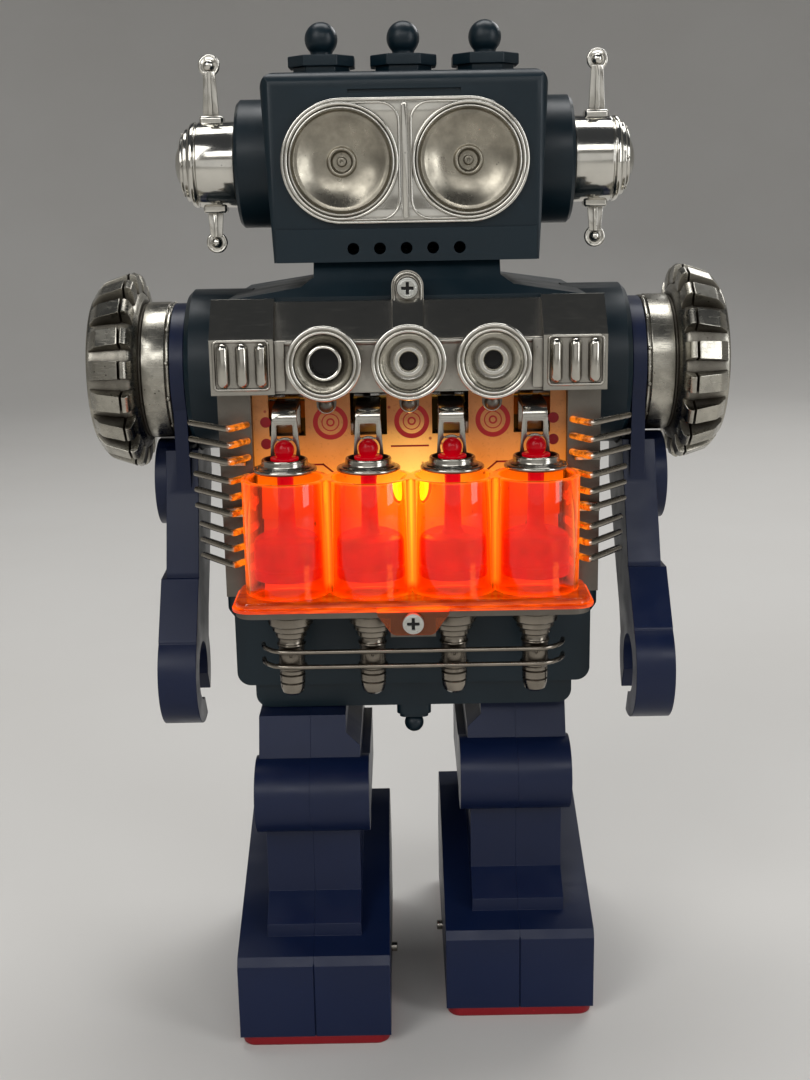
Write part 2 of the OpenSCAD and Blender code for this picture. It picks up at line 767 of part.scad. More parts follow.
module camshaft() {
    color("silver") datum() on_gear_line(crank_idler + idler_cam) {
        gear_at(upper_x, cam_n, 270);
        bar_x(axle_r, [-41, 41], 0, 0);
        for (i = [0:3]) bar_x(3, [cylinder_xs[i] - 2, cylinder_xs[i] + 2], 0, i % 3 == 0 ? 1 : -1);
    }
}

module chassis() {
    color("dimgray") datum() {
        difference() {
            both_sides() from_side([plate_x, plate_x + plate_t]) polygon([
                [-22, belly_z], [28, belly_z], [28, 150], [8, 190], [-20, 190], [-31.8, 177],
                [-31.8, 168], [-22, 160]
            ]);
            bar_x(2 + bearing_gap, [-20, 20], 0, crank_z);
            on_gear_line(0, crank_small) bar_x(axle_r + bearing_gap, [-20, 20], 0, 0);
            on_gear_line(crank_idler) bar_x(axle_r + bearing_gap, [-20, 20], 0, 0);
            on_gear_line(crank_idler + idler_cam) bar_x(axle_r + bearing_gap, [-20, 20], 0, 0);
            bar_x(1.25, [-20, 20], rocker_y, rocker_z);
        }
        for (p = [[24, 150], [-18, 106], [24, 106]]) bar_x(2, [-plate_x, plate_x], p[0], p[1]);
        both_sides() block([plate_x + plate_t, 50], [-2, 30.5], [127.8, 129.2]);
    }
}

module batteries() {
    color("goldenrod") datum() both_sides() translate([34, 14, 0]) {
        bar_z(16.2, 0, 0, [130.2, 190.5]);
        bar_z(4.5, 0, 0, [190.5, 192]);
    }
}

module battery_contacts() {
    color("silver") datum() both_sides() translate([34, 14, 0]) {
        block([-8, 8], [-8, 8], [129.2, 129.8]);
        bar_z(5, 0, 0, [129.8, 130.2]);
        block([-8, 8], [-8, 16.8], [192, 192.6]);
    }
}

// ---- Arms ----

module arm_shaft(side) {
    color("silver") datum() on_side(side) {
        bar_x(shaft_r, [54, wheel_x], 0, shoulder_z);
        block([54, 57], [-3, 3], [shoulder_z - 17, shoulder_z]);
        bar_x(axle_r, [56, 60], 0, shoulder_z - 14);
    }
}

// Turns children about the shoulder axis to the arm's place at rest
module arm_swing(side) {
    translate([0, 0, shoulder_z]) rotate([-side * arm_rest_swing, 0, 0]) children();
}

module hand_outline() {
    difference() {
        union() {
            polygon([[-27.3, -56.6], [-38.6, -71.5], [-40, -78], [-15, -80], [-11, -71], [-1, -56.6]]);
            translate([-29, -84.5]) circle(claw_r);
        }
        translate([-29, -84.5]) circle(claw_bore_r);
        translate([-29, -84.5]) rotate(-60) translate([0, -4.5]) square([30, 9]);
    }
}

module arm(side) {
    color(navy) datum() on_side(side) arm_swing(side) difference() {
        union() {
            bar_x(19.5, [arm_disc_x, drum_x], 0, 0);
            from_side([arm_disc_x, drum_x]) polygon([[-17, -8], [17, -8], [13, -36], [-17, -34]]);
            from_side([arm_x[0], arm_x[1] - 1.5]) polygon([
                [-13.5, -21.5], [-17.5, -34], [-26.4, -55], [-26.4, -57], [-2, -57], [13, -34],
                [13, -21.5]
            ]);
            // Round bulge of the upper arm, below the drum
            bar_x(13, [drum_x, arm_x[1] + 2], -3, -33.2);
            from_side(arm_x) hand_outline();
        }
        bar_x(boss_r + 0.5, [arm_x[0] - 1, arm_disc_x], 0, 0);
        bar_x(drum_r + 0.5, [drum_x, wheel_x], 0, 0);
        bar_x(shaft_r + bearing_gap, [60, wheel_x + 1], 0, 0);
    }
}

module shoulder_drum(side) {
    color(chrome) datum() on_side(side) arm_swing(side) difference() {
        union() {
            bar_x(drum_r, [drum_x, wheel_x], 0, 0);
            for (i = [0:11]) rotate([30 * i + 15, 0, 0])
                bar_x(0.7, [drum_x, drum_x + 1.4], 0, drum_r - 0.3);
        }
        bar_x(shaft_r + bearing_gap, [60, wheel_x + 1], 0, 0);
        difference() {
            bar_x(drum_r - wall, [drum_x + 2, wheel_x + 1], 0, 0);
            bar_x(6, [drum_x, wheel_x + 1], 0, 0);
        }
    }
}

module shoulder_wheel(side) {
    color(chrome) datum() on_side(side) arm_swing(side) difference() {
        turned_x(0, 0, 0) polygon([
            [0, wheel_x], [21.5, wheel_x], [24.5, 77.8], [wheel_r - 1, 78.7], [wheel_r, 79.8],
            [wheel_r - 0.3, 81], [25.8, 88.8], [23.8, 90.2], [22.5, 91.4], [19, 91.4],
            [17, 88.5], [8, 87.5], [7, 90], [0, 90]
        ]);
        for (i = [0:wheel_lugs - 1]) rotate([360 / wheel_lugs * (i + 0.5), 0, 0])
            block([wheel_x - 1, 93], [-1.9, 1.9], [24.4, 31]);
        difference() {
            bar_x(31, [80.6, 81.3], 0, 0);
            bar_x(26.2, [80, 82], 0, 0);
        }
    }
}

// ---- Legs ----

module leg_place(side) { translate([0, side * stride, 0]) children(); }

module leg_form() {
    // Thigh with its inner notch
    intersection() {
        from_front([-60, 60]) polygon([
            [15.7, 70], [15.7, 85], [19.8, 88.5], [19.8, thigh_top_z], [44.8, thigh_top_z], [44.8, 70]
        ]);
        from_side([0, 60]) polygon([
            [-36.5, 70], [-36.5, 80], [-31, thigh_top_z], [12, thigh_top_z], [15, 70]
        ]);
    }
    bar_x(knee_r, [13.2, 45.7], knee_y, knee_z);
    from_side([13.2, 45.7]) polygon([[-35, 63], [-35, 79], [12, 79], [12, 63]]);
    // Shin, ending in a facet that meets the boot
    from_side([16.4, 43.6]) polygon([
        [-36, 70], [-36, 40.5], [-44.5, 34.2], [-44.5, 20], [12, 20], [12, 70]
    ]);
    // Boot
    from_side([leg_x - boot_hw, leg_x + boot_hw]) polygon([
        [-toe_y, sole_t], [-toe_y, 25.4], [-toe_y + 1.6, 27.8], [5, 48.8], [15, 49.6], [20, 47],
        [heel_y - 1, 28], [heel_y, 24], [heel_y, sole_t]
    ]);
    block(stem_x, [-9, 9], [thigh_top_z - 1, stem_z]);
}

module leg_hollow() {
    block([leg_x - boot_hw + wall, leg_x + boot_hw - wall], [wall - toe_y, heel_y - wall],
          [sole_t - 1, 24]);
    block([18.8, 41.2], [-33, 9], [20, 76]);
    block([22.2, 42.4], [-28, 9], [70, 90]);
    block([stem_x[0] - 1, stem_x[0] + 4], [-2, 2], [crank_z - yoke_h, crank_z + yoke_h]);
    for (y = roller_ys) bar_x(axle_r + bearing_gap, [0, 50.4], y, roller_r + 0.1);
    // Mould seam
    difference() {
        block([leg_x - 0.2, leg_x + 0.2], [-80, 80], [0, stem_z + 1]);
        translate([0, 0.4, 0]) block([0, 60], [-toe_y, 30], [0, stem_z + 1]);
    }
}

module leg_half(side, x) {
    color(navy) datum() leg_place(side) on_side(side) difference() {
        intersection() {
            leg_form();
            block(x, [-80, 80], [0, 200]);
        }
        leg_hollow();
    }
}

module sole(side) {
    color("darkred") datum() leg_place(side) on_side(side) difference() {
        from_above([0, sole_t])
            rounded_rect([leg_x - boot_hw + 0.4, leg_x + boot_hw - 0.4], [0.4 - toe_y, heel_y - 0.4], 4);
        for (y = roller_ys) block([leg_x - 5, leg_x + 5], [y - 7, y + 7], [-1, sole_t + 1]);
    }
}

module roller(side, y, axle_x) {
    color("black") datum() leg_place(side) on_side(side) translate([0, y, roller_r + 0.1]) {
        bar_x(roller_r, [leg_x - 4, leg_x + 4], 0, 0);
        bar_x(axle_r, [axle_x, 50], 0, 0);
    }
}

head_front();
head_rear();
eye_bezel();
eye_dishes();
head_knobs();
ear_pod(left);  // ear_pod_left
ear_pod(right);  // ear_pod_right
antennas(left);  // antennas_left
antennas(right);  // antennas_right
torso_front();
torso_rear();
hip_plate();
engine_frame();
intake_horns();
engine_card();
cylinder_block();
fins(left);  // fins_left
fins(right);  // fins_right
exhaust_stacks();
piston(1);  // piston_1
piston(2);  // piston_2
piston(3);  // piston_3
piston(4);  // piston_4
rocker(1);  // rocker_1
rocker(2);  // rocker_2
rocker(3);  // rocker_3
rocker(4);  // rocker_4
rocker_shaft();
lamp();
lamp_socket();
screws();
battery_door();
batteries();
battery_contacts();
motor();
motor_pinion();
reduction_gear();
crankshaft();
idler_gear();
camshaft();
chassis();
switch_knob();
arm_shaft(left);  // arm_shaft_left
arm_shaft(right);  // arm_shaft_right
arm(left);  // arm_left
arm(right);  // arm_right
shoulder_drum(left);  // shoulder_drum_left
shoulder_drum(right);  // shoulder_drum_right
shoulder_wheel(left);  // shoulder_wheel_left
shoulder_wheel(right);  // shoulder_wheel_right
leg_half(left, [leg_x, 60]);  // leg_left_outer
leg_half(left, [0, leg_x]);  // leg_left_inner
leg_half(right, [leg_x, 60]);  // leg_right_outer
leg_half(right, [0, leg_x]);  // leg_right_inner
sole(left);  // sole_left
sole(right);  // sole_right
roller(left, roller_ys[0], axle_tip_x);  // roller_left_front
roller(left, roller_ys[1], boot_side_x);  // roller_left_rear
roller(right, roller_ys[0], axle_tip_x);  // roller_right_front
roller(right, roller_ys[1], boot_side_x);  // roller_right_rear
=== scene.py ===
from math import acos, cos, degrees, pi, radians, sin, tan

import bmesh
import bpy
from mathutils import Matrix, Vector


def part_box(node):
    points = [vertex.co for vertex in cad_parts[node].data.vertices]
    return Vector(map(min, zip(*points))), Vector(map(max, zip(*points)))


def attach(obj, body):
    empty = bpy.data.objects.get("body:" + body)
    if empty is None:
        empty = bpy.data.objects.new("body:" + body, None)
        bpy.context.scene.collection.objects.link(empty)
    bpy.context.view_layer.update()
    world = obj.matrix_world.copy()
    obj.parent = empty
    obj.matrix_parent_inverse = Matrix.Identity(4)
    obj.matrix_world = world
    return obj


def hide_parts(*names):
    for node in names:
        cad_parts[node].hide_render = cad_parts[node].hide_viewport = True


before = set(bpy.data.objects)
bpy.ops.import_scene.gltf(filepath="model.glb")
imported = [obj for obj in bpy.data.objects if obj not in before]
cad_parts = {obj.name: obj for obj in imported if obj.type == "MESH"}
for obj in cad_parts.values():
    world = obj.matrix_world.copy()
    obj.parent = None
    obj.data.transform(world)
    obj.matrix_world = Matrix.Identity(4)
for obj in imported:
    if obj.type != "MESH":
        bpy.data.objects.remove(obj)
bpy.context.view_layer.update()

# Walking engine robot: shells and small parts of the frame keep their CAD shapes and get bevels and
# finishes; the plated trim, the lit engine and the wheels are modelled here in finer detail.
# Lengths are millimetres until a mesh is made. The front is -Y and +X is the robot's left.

MM = 0.001
LEFT, RIGHT = 1, -1
SIDES = {LEFT: "left", RIGHT: "right"}

# ---- Places, read from the frame ----


def span(node):
    low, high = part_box(node)
    return low / MM, high / MM


def middle(node):
    low, high = span(node)
    return (low + high) / 2


axis_y = middle("antennas_left").y
bezel_low, bezel_high = span("eye_bezel")
face_y = bezel_high.y
bezel_r = (bezel_high.z - bezel_low.z) / 2
eye_x = bezel_high.x - bezel_r
eye_z = middle("eye_bezel").z

horn_low, horn_high = span("intake_horns")
horn_r = (horn_high.z - horn_low.z) / 2
horn_z = middle("intake_horns").z
triple_pitch = horn_high.x - horn_r
manifold_y = horn_high.y

cylinder_xs = [middle(f"piston_{n}").x for n in (1, 2, 3, 4)]
bore_pitch = cylinder_xs[1] - cylinder_xs[0]
bore_y = middle("piston_1").y
block_low, block_high = span("cylinder_block")
piston_low, piston_high = span("piston_1")
rocker_low, rocker_high = span("rocker_1")
stack_low, stack_high = span("exhaust_stacks")
fin_top = span("fins_left")[1].z
card_low, card_high = span("engine_card")
rings_z = card_high.z - 8.9
lamp = middle("lamp")
frame_top = span("engine_frame")[1].z

ear_z = middle("ear_pod_left").z
pod_low, pod_high = span("ear_pod_left")
wheel_low, wheel_high = span("shoulder_wheel_left")
wheel = middle("shoulder_wheel_left")
drum_inner_x = span("shoulder_drum_left")[0].x
boot_seam_x = span("leg_left_inner")[1].x
tray_z = block_high.z - 33.8
tray_top = tray_z + 2.7
low_screw = Vector((0, block_low.y, tray_z - 2.8))
top_screw = Vector((0, axis_y - 37.6, frame_top - 4.7))

# ---- Outlines ----


def at_angles(radius, angles, x=0, y=0):
    return [(x + radius * cos(radians(a)), y + radius * sin(radians(a))) for a in angles]


def arc(x, y, radius, start, end, steps=12):
    return at_angles(radius, [start + (end - start) * i / steps for i in range(steps + 1)], x, y)


def ring(radius, steps=48, x=0, y=0):
    return arc(x, y, radius, 0, 360, steps)[:-1]


def rounded(points, radius, steps=5):
    """Outline with its corners turned into arcs; radius is one number or one for each corner."""
    radii = radius if isinstance(radius, (list, tuple)) else [radius] * len(points)
    outline = []
    for i, (point, r) in enumerate(zip(points, radii)):
        corner = Vector(point)
        back = Vector(points[i - 1]) - corner
        ahead = Vector(points[(i + 1) % len(points)]) - corner
        u, v = back.normalized(), ahead.normalized()
        half = u.angle(v) / 2
        if r <= 0 or half > radians(88):
            outline.append(tuple(point))
            continue
        reach = min(r / tan(half), back.length * 0.49, ahead.length * 0.49)
        centre = corner + (u + v).normalized() * (reach / cos(half))
        a, b = corner + u * reach - centre, corner + v * reach - centre
        turn = pi - 2 * half
        for k in range(steps + 1):
            t = k / steps
            outline.append(tuple(centre + (a * sin((1 - t) * turn) + b * sin(t * turn)) / sin(turn)))
    return outline


def rectangle(x0, x1, y0, y1, radius=0.0, steps=5):
    return rounded([(x0, y0), (x1, y0), (x1, y1), (x0, y1)], radius, steps)


# ---- Solids ----

UP = Matrix.Identity(4)
FRONT = Matrix.Rotation(radians(90), 4, "X")
BACK = Matrix.Rotation(radians(180), 4, "Z") @ FRONT
PROFILE = Matrix(((0, 0, 1, 0), (1, 0, 0, 0), (0, 1, 0, 0), (0, 0, 0, 1)))


def outward(side):
    """Turns local Z to the robot's left or right."""
    return Matrix.Rotation(side * radians(90), 4, "Y")


def placed(part, where=(0, 0, 0), turn=UP):
    part.transform(Matrix.Translation(Vector(where)) @ turn)
    return part


def merged(parts):
    whole = bmesh.new()
    for part in parts:
        mesh = bpy.data.meshes.new("part")
        part.to_mesh(mesh)
        part.free()
        whole.from_mesh(mesh)
        bpy.data.meshes.remove(mesh)
    return whole


def bridge(part, rings):
    for lower, upper in rings:
        count = max(len(lower), len(upper))
        for i in range(count):
            j = (i + 1) % count
            corners = [loop[k % len(loop)] for loop, k in ((lower, i), (lower, j), (upper, j), (upper, i))]
            corners = list(dict.fromkeys(corners))
            if len(corners) > 2:
                part.faces.new(corners)


def turned(profile, steps=72):
    """Solid turned about Z from (radius, height) points; one that stays off the axis is a ring."""
    part = bmesh.new()
    rings = []
    for radius, height in profile:
        corners = [(0, 0)] if radius < 1e-6 else ring(radius, steps)
        rings.append([part.verts.new((x, y, height)) for x, y in corners])
    pairs = list(zip(rings, rings[1:]))
    if profile[0][0] > 1e-6 and profile[-1][0] > 1e-6:
        pairs.append((rings[-1], rings[0]))
    bridge(part, pairs)
    return part


def plate(outline, low, high, holes=()):
    """Outline, with holes, between two heights."""
    part = bmesh.new()
    edges = []
    for loop in (outline, *holes):
        corners = [part.verts.new((x, y, low)) for x, y in loop]
        edges += [part.edges.new(pair) for pair in zip(corners, corners[1:] + corners[:1])]
    if holes:
        bmesh.ops.triangle_fill(part, use_beauty=True, use_dissolve=False, edges=edges)
    else:
        part.faces.new(corners)
    raised = bmesh.ops.extrude_face_region(part, geom=part.faces[:])["geom"]
    corners = [v for v in raised if isinstance(v, bmesh.types.BMVert)]
    bmesh.ops.translate(part, verts=corners, vec=(0, 0, high - low))
    return part


def lofted(loops):
    """Solid through (outline, height) loops with equal numbers of points."""
    part = bmesh.new()
    rings = [[part.verts.new((x, y, z)) for x, y in outline] for outline, z in loops]
    bridge(part, zip(rings, rings[1:]))
    part.faces.new(rings[0])
    part.faces.new(rings[-1])
    return part


def rod(path, radius, steps=12, closed=False):
    """Round bar along 3D points: closed on itself, or with domed ends."""
    part = bmesh.new()
    points = [Vector(p) for p in path]
    count = len(points)
    stations = []
    side = None
    for i, point in enumerate(points):
        if closed:
            along = (points[(i + 1) % count] - points[i - 1]).normalized()
        else:
            along = (points[min(i + 1, count - 1)] - points[max(i - 1, 0)]).normalized()
        if side is None:
            side = along.orthogonal().normalized()
            if abs(along.z) < 0.9:
                side = along.cross(Vector((0, 0, 1))).normalized()
        side = (side - along * side.dot(along)).normalized()
        stations.append((point, along, side.copy(), 1.0))
    if not closed:
        def domed(end, way):
            point, along, side, _ = end
            reach = [(way * radius * sin(radians(a)), cos(radians(a))) for a in (30, 60, 82)]
            return [(point + along * ahead, along, side, scale) for ahead, scale in reach]

        stations = domed(stations[0], -1)[::-1] + stations + domed(stations[-1], 1)
    rings = []
    for point, along, side, scale in stations:
        over = along.cross(side)
        section = [(side * px + over * py) * radius * scale for px, py in ring(1, steps)]
        rings.append([part.verts.new(point + offset) for offset in section])
    if closed:
        bridge(part, zip(rings, rings[1:] + rings[:1]))
    else:
        bridge(part, zip(rings, rings[1:]))
        part.faces.new(rings[0])
        part.faces.new(rings[-1])
    return part


def dome(radius, height, base=0.0):
    """Turned profile of a domed end, from its rim to the axis."""
    slope = [(radius * px, base + height * pz) for px, pz in at_angles(1, range(0, 90, 18))]
    return slope + [(0, base + height)]


def ball(radius, steps=28):
    """Sphere, with its poles along Z."""
    return turned([(0, -radius)] + at_angles(radius, range(-75, 90, 15)) + [(0, radius)], steps)


# ---- Finishes ----


def srgb(red, green, blue):
    """Linear colour of an sRGB one given in 0 to 255."""
    linear = [((c / 255 + 0.055) / 1.055) ** 2.4 if c > 10 else c / 255 / 12.92 for c in (red, green, blue)]
    return (*linear, 1)


def shade(colour, factor):
    return tuple(min(c * factor, 1) for c in colour[:3]) + (1,)


class Finish:
    """A Principled material and the nodes that feed it."""

    def __init__(self, name, **constants):
        self.material = bpy.data.materials.new(name)
        self.material.use_nodes = True
        self.tree = self.material.node_tree
        self.shader = self.tree.nodes["Principled BSDF"]
        self.where = self.add("TexCoord").outputs["Object"]
        self.normal = None
        for socket, value in constants.items():
            self.shader.inputs[socket.replace("_", " ")].default_value = value

    def add(self, kind, inputs=None, **settings):
        """A node, with its inputs linked to sockets or set to constants."""
        node = self.tree.nodes.new("ShaderNode" + kind)
        for key, value in settings.items():
            setattr(node, key, value)
        for key, value in (inputs or {}).items():
            if isinstance(value, bpy.types.NodeSocket):
                self.tree.links.new(value, node.inputs[key])
            else:
                node.inputs[key].default_value = value
        return node

    def stretched(self, scale):
        return self.add("Mapping", {"Vector": self.where, "Scale": scale}).outputs[0]

    def noise(self, size, detail=3.0, rough=0.55, where=None):
        """Noise whose features are about size millimetres across."""
        inputs = {"Vector": where or self.where, "Scale": 1 / (size * MM)}
        inputs.update({"Detail": detail, "Roughness": rough})
        return self.add("TexNoise", inputs).outputs["Fac"]

    def spots(self, size, share):
        """1 inside scattered specks about size millimetres apart, 0 outside."""
        cells = self.add("TexVoronoi", {"Vector": self.where, "Scale": 1 / (size * MM)})
        return self.span(cells.outputs["Distance"], share, share * 0.6, 0, 1)

    def span(self, value, low, high, to_low, to_high):
        inputs = {"Value": value, "From Min": low, "From Max": high, "To Min": to_low, "To Max": to_high}
        return self.add("MapRange", inputs).outputs[0]

    def math(self, operation, first, second=0.0):
        return self.add("Math", {0: first, 1: second}, operation=operation).outputs[0]

    def mix(self, share, first, second):
        return self.add("Mix", {0: share, 6: first, 7: second}, data_type="RGBA").outputs[2]

    def ramp(self, value, stops, constant=False):
        node = self.add("ValToRGB", {"Fac": value})
        ramp = node.color_ramp
        ramp.interpolation = "CONSTANT" if constant else "LINEAR"
        while len(ramp.elements) < len(stops):
            ramp.elements.new(0.5)
        for element, (position, colour) in zip(ramp.elements, stops):
            element.position = position
            element.color = colour
        return node.outputs[0]

    def along(self, axis):
        """Place along X, Y or Z, in metres."""
        return self.add("SeparateXYZ", {0: self.where}).outputs[axis]

    def off_centre(self):
        """Distance from the middle plane, in metres."""
        return self.math("ABSOLUTE", self.along("X"))

    def distance(self, point):
        """Distance from a point, in metres."""
        inputs = {0: self.where, 1: [c * MM for c in point]}
        return self.add("VectorMath", inputs, operation="DISTANCE").outputs["Value"]

    def recess(self, reach):
        """1 in the open, 0 deep in corners."""
        return self.add("AmbientOcclusion", {"Distance": reach * MM}, samples=6).outputs["AO"]

    def bump(self, height, strength, reach=0.05):
        inputs = {"Height": height, "Strength": strength, "Distance": reach * MM}
        if self.normal:
            inputs["Normal"] = self.normal
        self.normal = self.add("Bump", inputs).outputs[0]

    def feed(self, **recess_shade_discs):
        for name, value in recess_shade_discs.items():
            self.tree.links.new(value, self.shader.inputs[name.replace("_", " ")])
        if self.normal:
            self.tree.links.new(self.normal, self.shader.inputs["Normal"])
        return self.material


def moulded(name, colour, roughness, edge=1.5):
    """Injection-moulded plastic: faint mottling, a fine satin skin, hairline scratches and pale edges."""
    f = Finish(name, IOR=1.46, Specular_IOR_Level=0.36)
    cloud = f.noise(28, 4)
    patch = f.noise(4.5, 5)
    base = f.mix(cloud, shade(colour, 0.84), shade(colour, 1.14))
    base = f.mix(f.span(patch, 0.35, 0.75, 0, 0.22), base, shade(colour, 0.75))
    rub = f.span(f.add("NewGeometry").outputs["Pointiness"], 0.52, 0.6, 0, 0.4)
    base = f.mix(rub, base, shade(colour, edge))
    dust = f.math("MULTIPLY", f.spots(2.6, 0.09), f.span(cloud, 0.45, 0.65, 0, 0.5))
    base = f.mix(dust, base, shade(colour, 3.0))
    lines = f.noise(1.3, 2, where=f.stretched((1.0, 9.0, 0.25)))
    scratch = f.span(lines, 0.69, 0.73, 0, 1)
    smudge = f.noise(11, 3)
    rough = f.span(smudge, 0.3, 0.7, roughness - 0.06, roughness + 0.09)
    rough = f.math("ADD", rough, f.math("MULTIPLY", scratch, 0.12))
    f.bump(f.noise(0.55, 3), 0.16, 0.05)
    f.bump(scratch, 0.12, 0.02)
    f.bump(f.noise(16, 2), 0.25, 0.12)
    return f.feed(Base_Color=base, Roughness=rough)


def plated(name, colour, roughness, shade_soil_strength=0.5, wear=0.35, wave=0.5, reach=2.2, under_manifold_shade=0.0):
    """Bright plating on plastic: a slightly wavy mirror with haze, pits, and painted shade with brown soiling
    in corners.

    Painted shade darkens the engine frame below its manifold, where it stands in shadow.
    """
    f = Finish(name, Metallic=1.0)
    haze = f.noise(7, 5, 0.6)
    streak = f.noise(1.6, 3, where=f.stretched((0.3, 1.0, 4.0)))
    base = f.mix(f.span(haze, 0.3, 0.75, 0, 1), colour, shade(colour, 1 - wear * 0.6))
    pits = f.math("MULTIPLY", f.spots(1.9, 0.13), f.span(f.noise(9, 3), 0.5, 0.62, 0, wear * 1.8))
    base = f.mix(pits, base, srgb(52, 44, 34))
    # Painted shade, partly real soiling: darker brown and rougher in recesses, from ambient occlusion.
    open_share = f.span(f.recess(reach), 0.35, 0.92, 0, 1)
    recess_shade_soil = f.math("MULTIPLY", f.math("SUBTRACT", 1.0, open_share), shade_soil_strength)
    # Painted shade on the frame below the manifold.
    if under_manifold_shade:
        below = f.span(f.along("Z"), (horn_z - 8.2) * MM, (horn_z - 9.4) * MM, 0, under_manifold_shade)
        recess_shade_soil = f.math("MAXIMUM", recess_shade_soil, below)
    base = f.mix(recess_shade_soil, base, srgb(46, 37, 28))
    rough = f.span(haze, 0.3, 0.75, roughness, roughness + 0.22 * wear)
    rough = f.math("ADD", rough, f.math("MULTIPLY", recess_shade_soil, 0.4))
    rough = f.math("ADD", rough, f.math("MULTIPLY", f.span(streak, 0.55, 0.75, 0, 1), 0.16 * wear))
    f.bump(f.noise(9, 2), wave, 0.12)
    f.bump(f.noise(0.9, 4), 0.1 + 0.25 * wear, 0.03)
    f.bump(pits, 0.4, -0.03)
    return f.feed(Base_Color=base, Roughness=rough)


def satin_plated(name, colour):
    """Dull hazed silver with brushed rings and a few dark specks."""
    f = Finish(name, Metallic=1.0)
    haze = f.noise(6, 5, 0.62)
    base = f.mix(f.span(haze, 0.3, 0.7, 0, 1), shade(colour, 1.15), shade(colour, 0.62))
    specks = f.math("MULTIPLY", f.spots(1.6, 0.16), f.span(f.noise(5, 2), 0.56, 0.66, 0, 0.85))
    base = f.mix(specks, base, srgb(40, 34, 28))
    scuffs = f.span(f.noise(0.8, 3, where=f.stretched((1.0, 1.0, 0.22))), 0.58, 0.74, 0, 1)
    rough = f.span(haze, 0.3, 0.7, 0.24, 0.4)
    rough = f.math("ADD", rough, f.math("MULTIPLY", scuffs, 0.12))
    f.bump(f.noise(0.5, 3), 0.22, 0.03)
    f.bump(scuffs, 0.18, 0.02)
    f.bump(f.noise(5, 2), 0.35, 0.1)
    return f.feed(Base_Color=base, Roughness=rough)


LAMP_REACH = 62


def lamplight(f, brightness):
    """Painted lamp glow, as emission colour round the lamp: yellow beside it, red and soon faint away from
    it.
    """
    far = f.span(f.distance(lamp), 0.004, LAMP_REACH * MM, 0, 1)
    stops = [
        (0.0, shade((1.0, 0.6, 0.12), brightness)),
        (0.12, shade((1.0, 0.42, 0.04), brightness * 0.5)),
        (0.3, shade((1.0, 0.14, 0.004), brightness * 0.07)),
        (1.0, shade((1.0, 0.05, 0.001), brightness * 0.015)),
    ]
    return f.ramp(far, stops)


def amber():
    """Clear amber plastic with a painted glow: emission stands in for the lamp's light carried down to its
    tray.
    """
    f = Finish("amber_plastic", Roughness=0.02, IOR=1.45, Transmission_Weight=1.0, Emission_Strength=1.0,
               Specular_IOR_Level=0.08)
    base = f.mix(f.noise(14, 3), srgb(255, 172, 70), srgb(255, 150, 52))
    # Painted glow: the emission below stands in for the lamp's light in the block, its tray, the joins
    # between the tubes and the top rim.
    glow = lamplight(f, 0.4)
    height = f.along("Z")
    tray = f.span(height, (tray_top + 1.5) * MM, (tray_z + 1) * MM, 0, 1)
    streaks = f.span(f.noise(2.6, 3, where=f.stretched((0.4, 1.0, 3.0))), 0.4, 0.62, 0, 1)
    glow = f.mix(tray, glow, f.mix(streaks, (0.42, 0.025, 0.0, 1), (0.8, 0.09, 0.002, 1)))
    tab = f.span(height, (tray_z + 0.2) * MM, (tray_z - 0.2) * MM, 0, 1)
    glow = f.mix(tab, glow, (0.05, 0.008, 0.0, 1))
    across = f.math("PINGPONG", f.along("X"), bore_pitch / 2 * MM)
    upright = f.math("MULTIPLY", f.span(across, 1.5 * MM, 0.7 * MM, 0, 1),
                     f.span(height, (tray_top + 1) * MM, (tray_top + 3) * MM, 0, 1))
    warm = f.span(f.distance(lamp), 0.01, 0.04, 1, 0)
    seam = f.mix(warm, (0.7, 0.1, 0.002, 1), (1.0, 0.5, 0.04, 1))
    glow = f.mix(f.math("MULTIPLY", upright, 0.6), glow, seam)
    rim = f.span(height, (block_high.z - 0.6) * MM, (block_high.z - 0.2) * MM, 0, 1)
    glow = f.mix(rim, glow, (0.3, 0.06, 0.002, 1))
    f.bump(f.noise(6, 2), 0.12, 0.08)
    return f.feed(Base_Color=base, Emission_Color=glow)


def lit_fins():
    """Plated rods with a painted glow on their inner ends, standing in for the lamp's light they catch."""
    f = Finish("lit_fins", Metallic=1.0, Emission_Strength=1.0)
    haze = f.noise(5, 4)
    # Painted glow: emission on the inner ends stands in for reflected lamp light.
    across = f.off_centre()
    inner = f.span(across, 49.2 * MM, 47.6 * MM, 0, 1)
    lit = f.math("MULTIPLY", inner, f.span(f.noise(2.4, 2), 0.42, 0.6, 0.25, 1))
    glow = f.mix(lit, (0, 0, 0, 1), (0.9, 0.2, 0.008, 1))
    f.bump(f.noise(1.5, 3), 0.2, 0.04)
    base = f.mix(haze, srgb(168, 162, 150), srgb(122, 114, 102))
    return f.feed(Base_Color=base, Emission_Color=glow, Roughness=f.span(haze, 0.3, 0.7, 0.16, 0.32))


def lit_red():
    """Clear red plastic with a painted glow that stands in for the lamp's light from behind."""
    f = Finish("red_plastic", Roughness=0.22, IOR=1.45, Emission_Strength=1.0, Specular_IOR_Level=0.25)
    base = f.mix(f.noise(6, 4), srgb(150, 0, 12), srgb(100, 0, 8))
    height = f.along("Z")
    # Painted glow: emission, stronger lower down and near the lamp.
    lit = f.span(height, (piston_high.z - 1) * MM, (piston_high.z - 12) * MM, 0.08, 0.78)
    swirl = f.span(f.noise(5, 3), 0.3, 0.7, 0.7, 1.0)
    near = f.span(f.distance(lamp), 0.012, 0.05, 1.0, 0.75)
    share = f.math("MULTIPLY", f.math("MULTIPLY", lit, swirl), near)
    glow = f.mix(share, (0.05, 0.0, 0.0005, 1), (1.0, 0.0, 0.012, 1))
    f.bump(f.noise(1.6, 3), 0.1, 0.05)
    return f.feed(Base_Color=base, Emission_Color=glow)


RING_RADII = (0.7, 1.15, 2.15, 2.45, 3.45, 4.8)
TARGET_REACH = 6.0


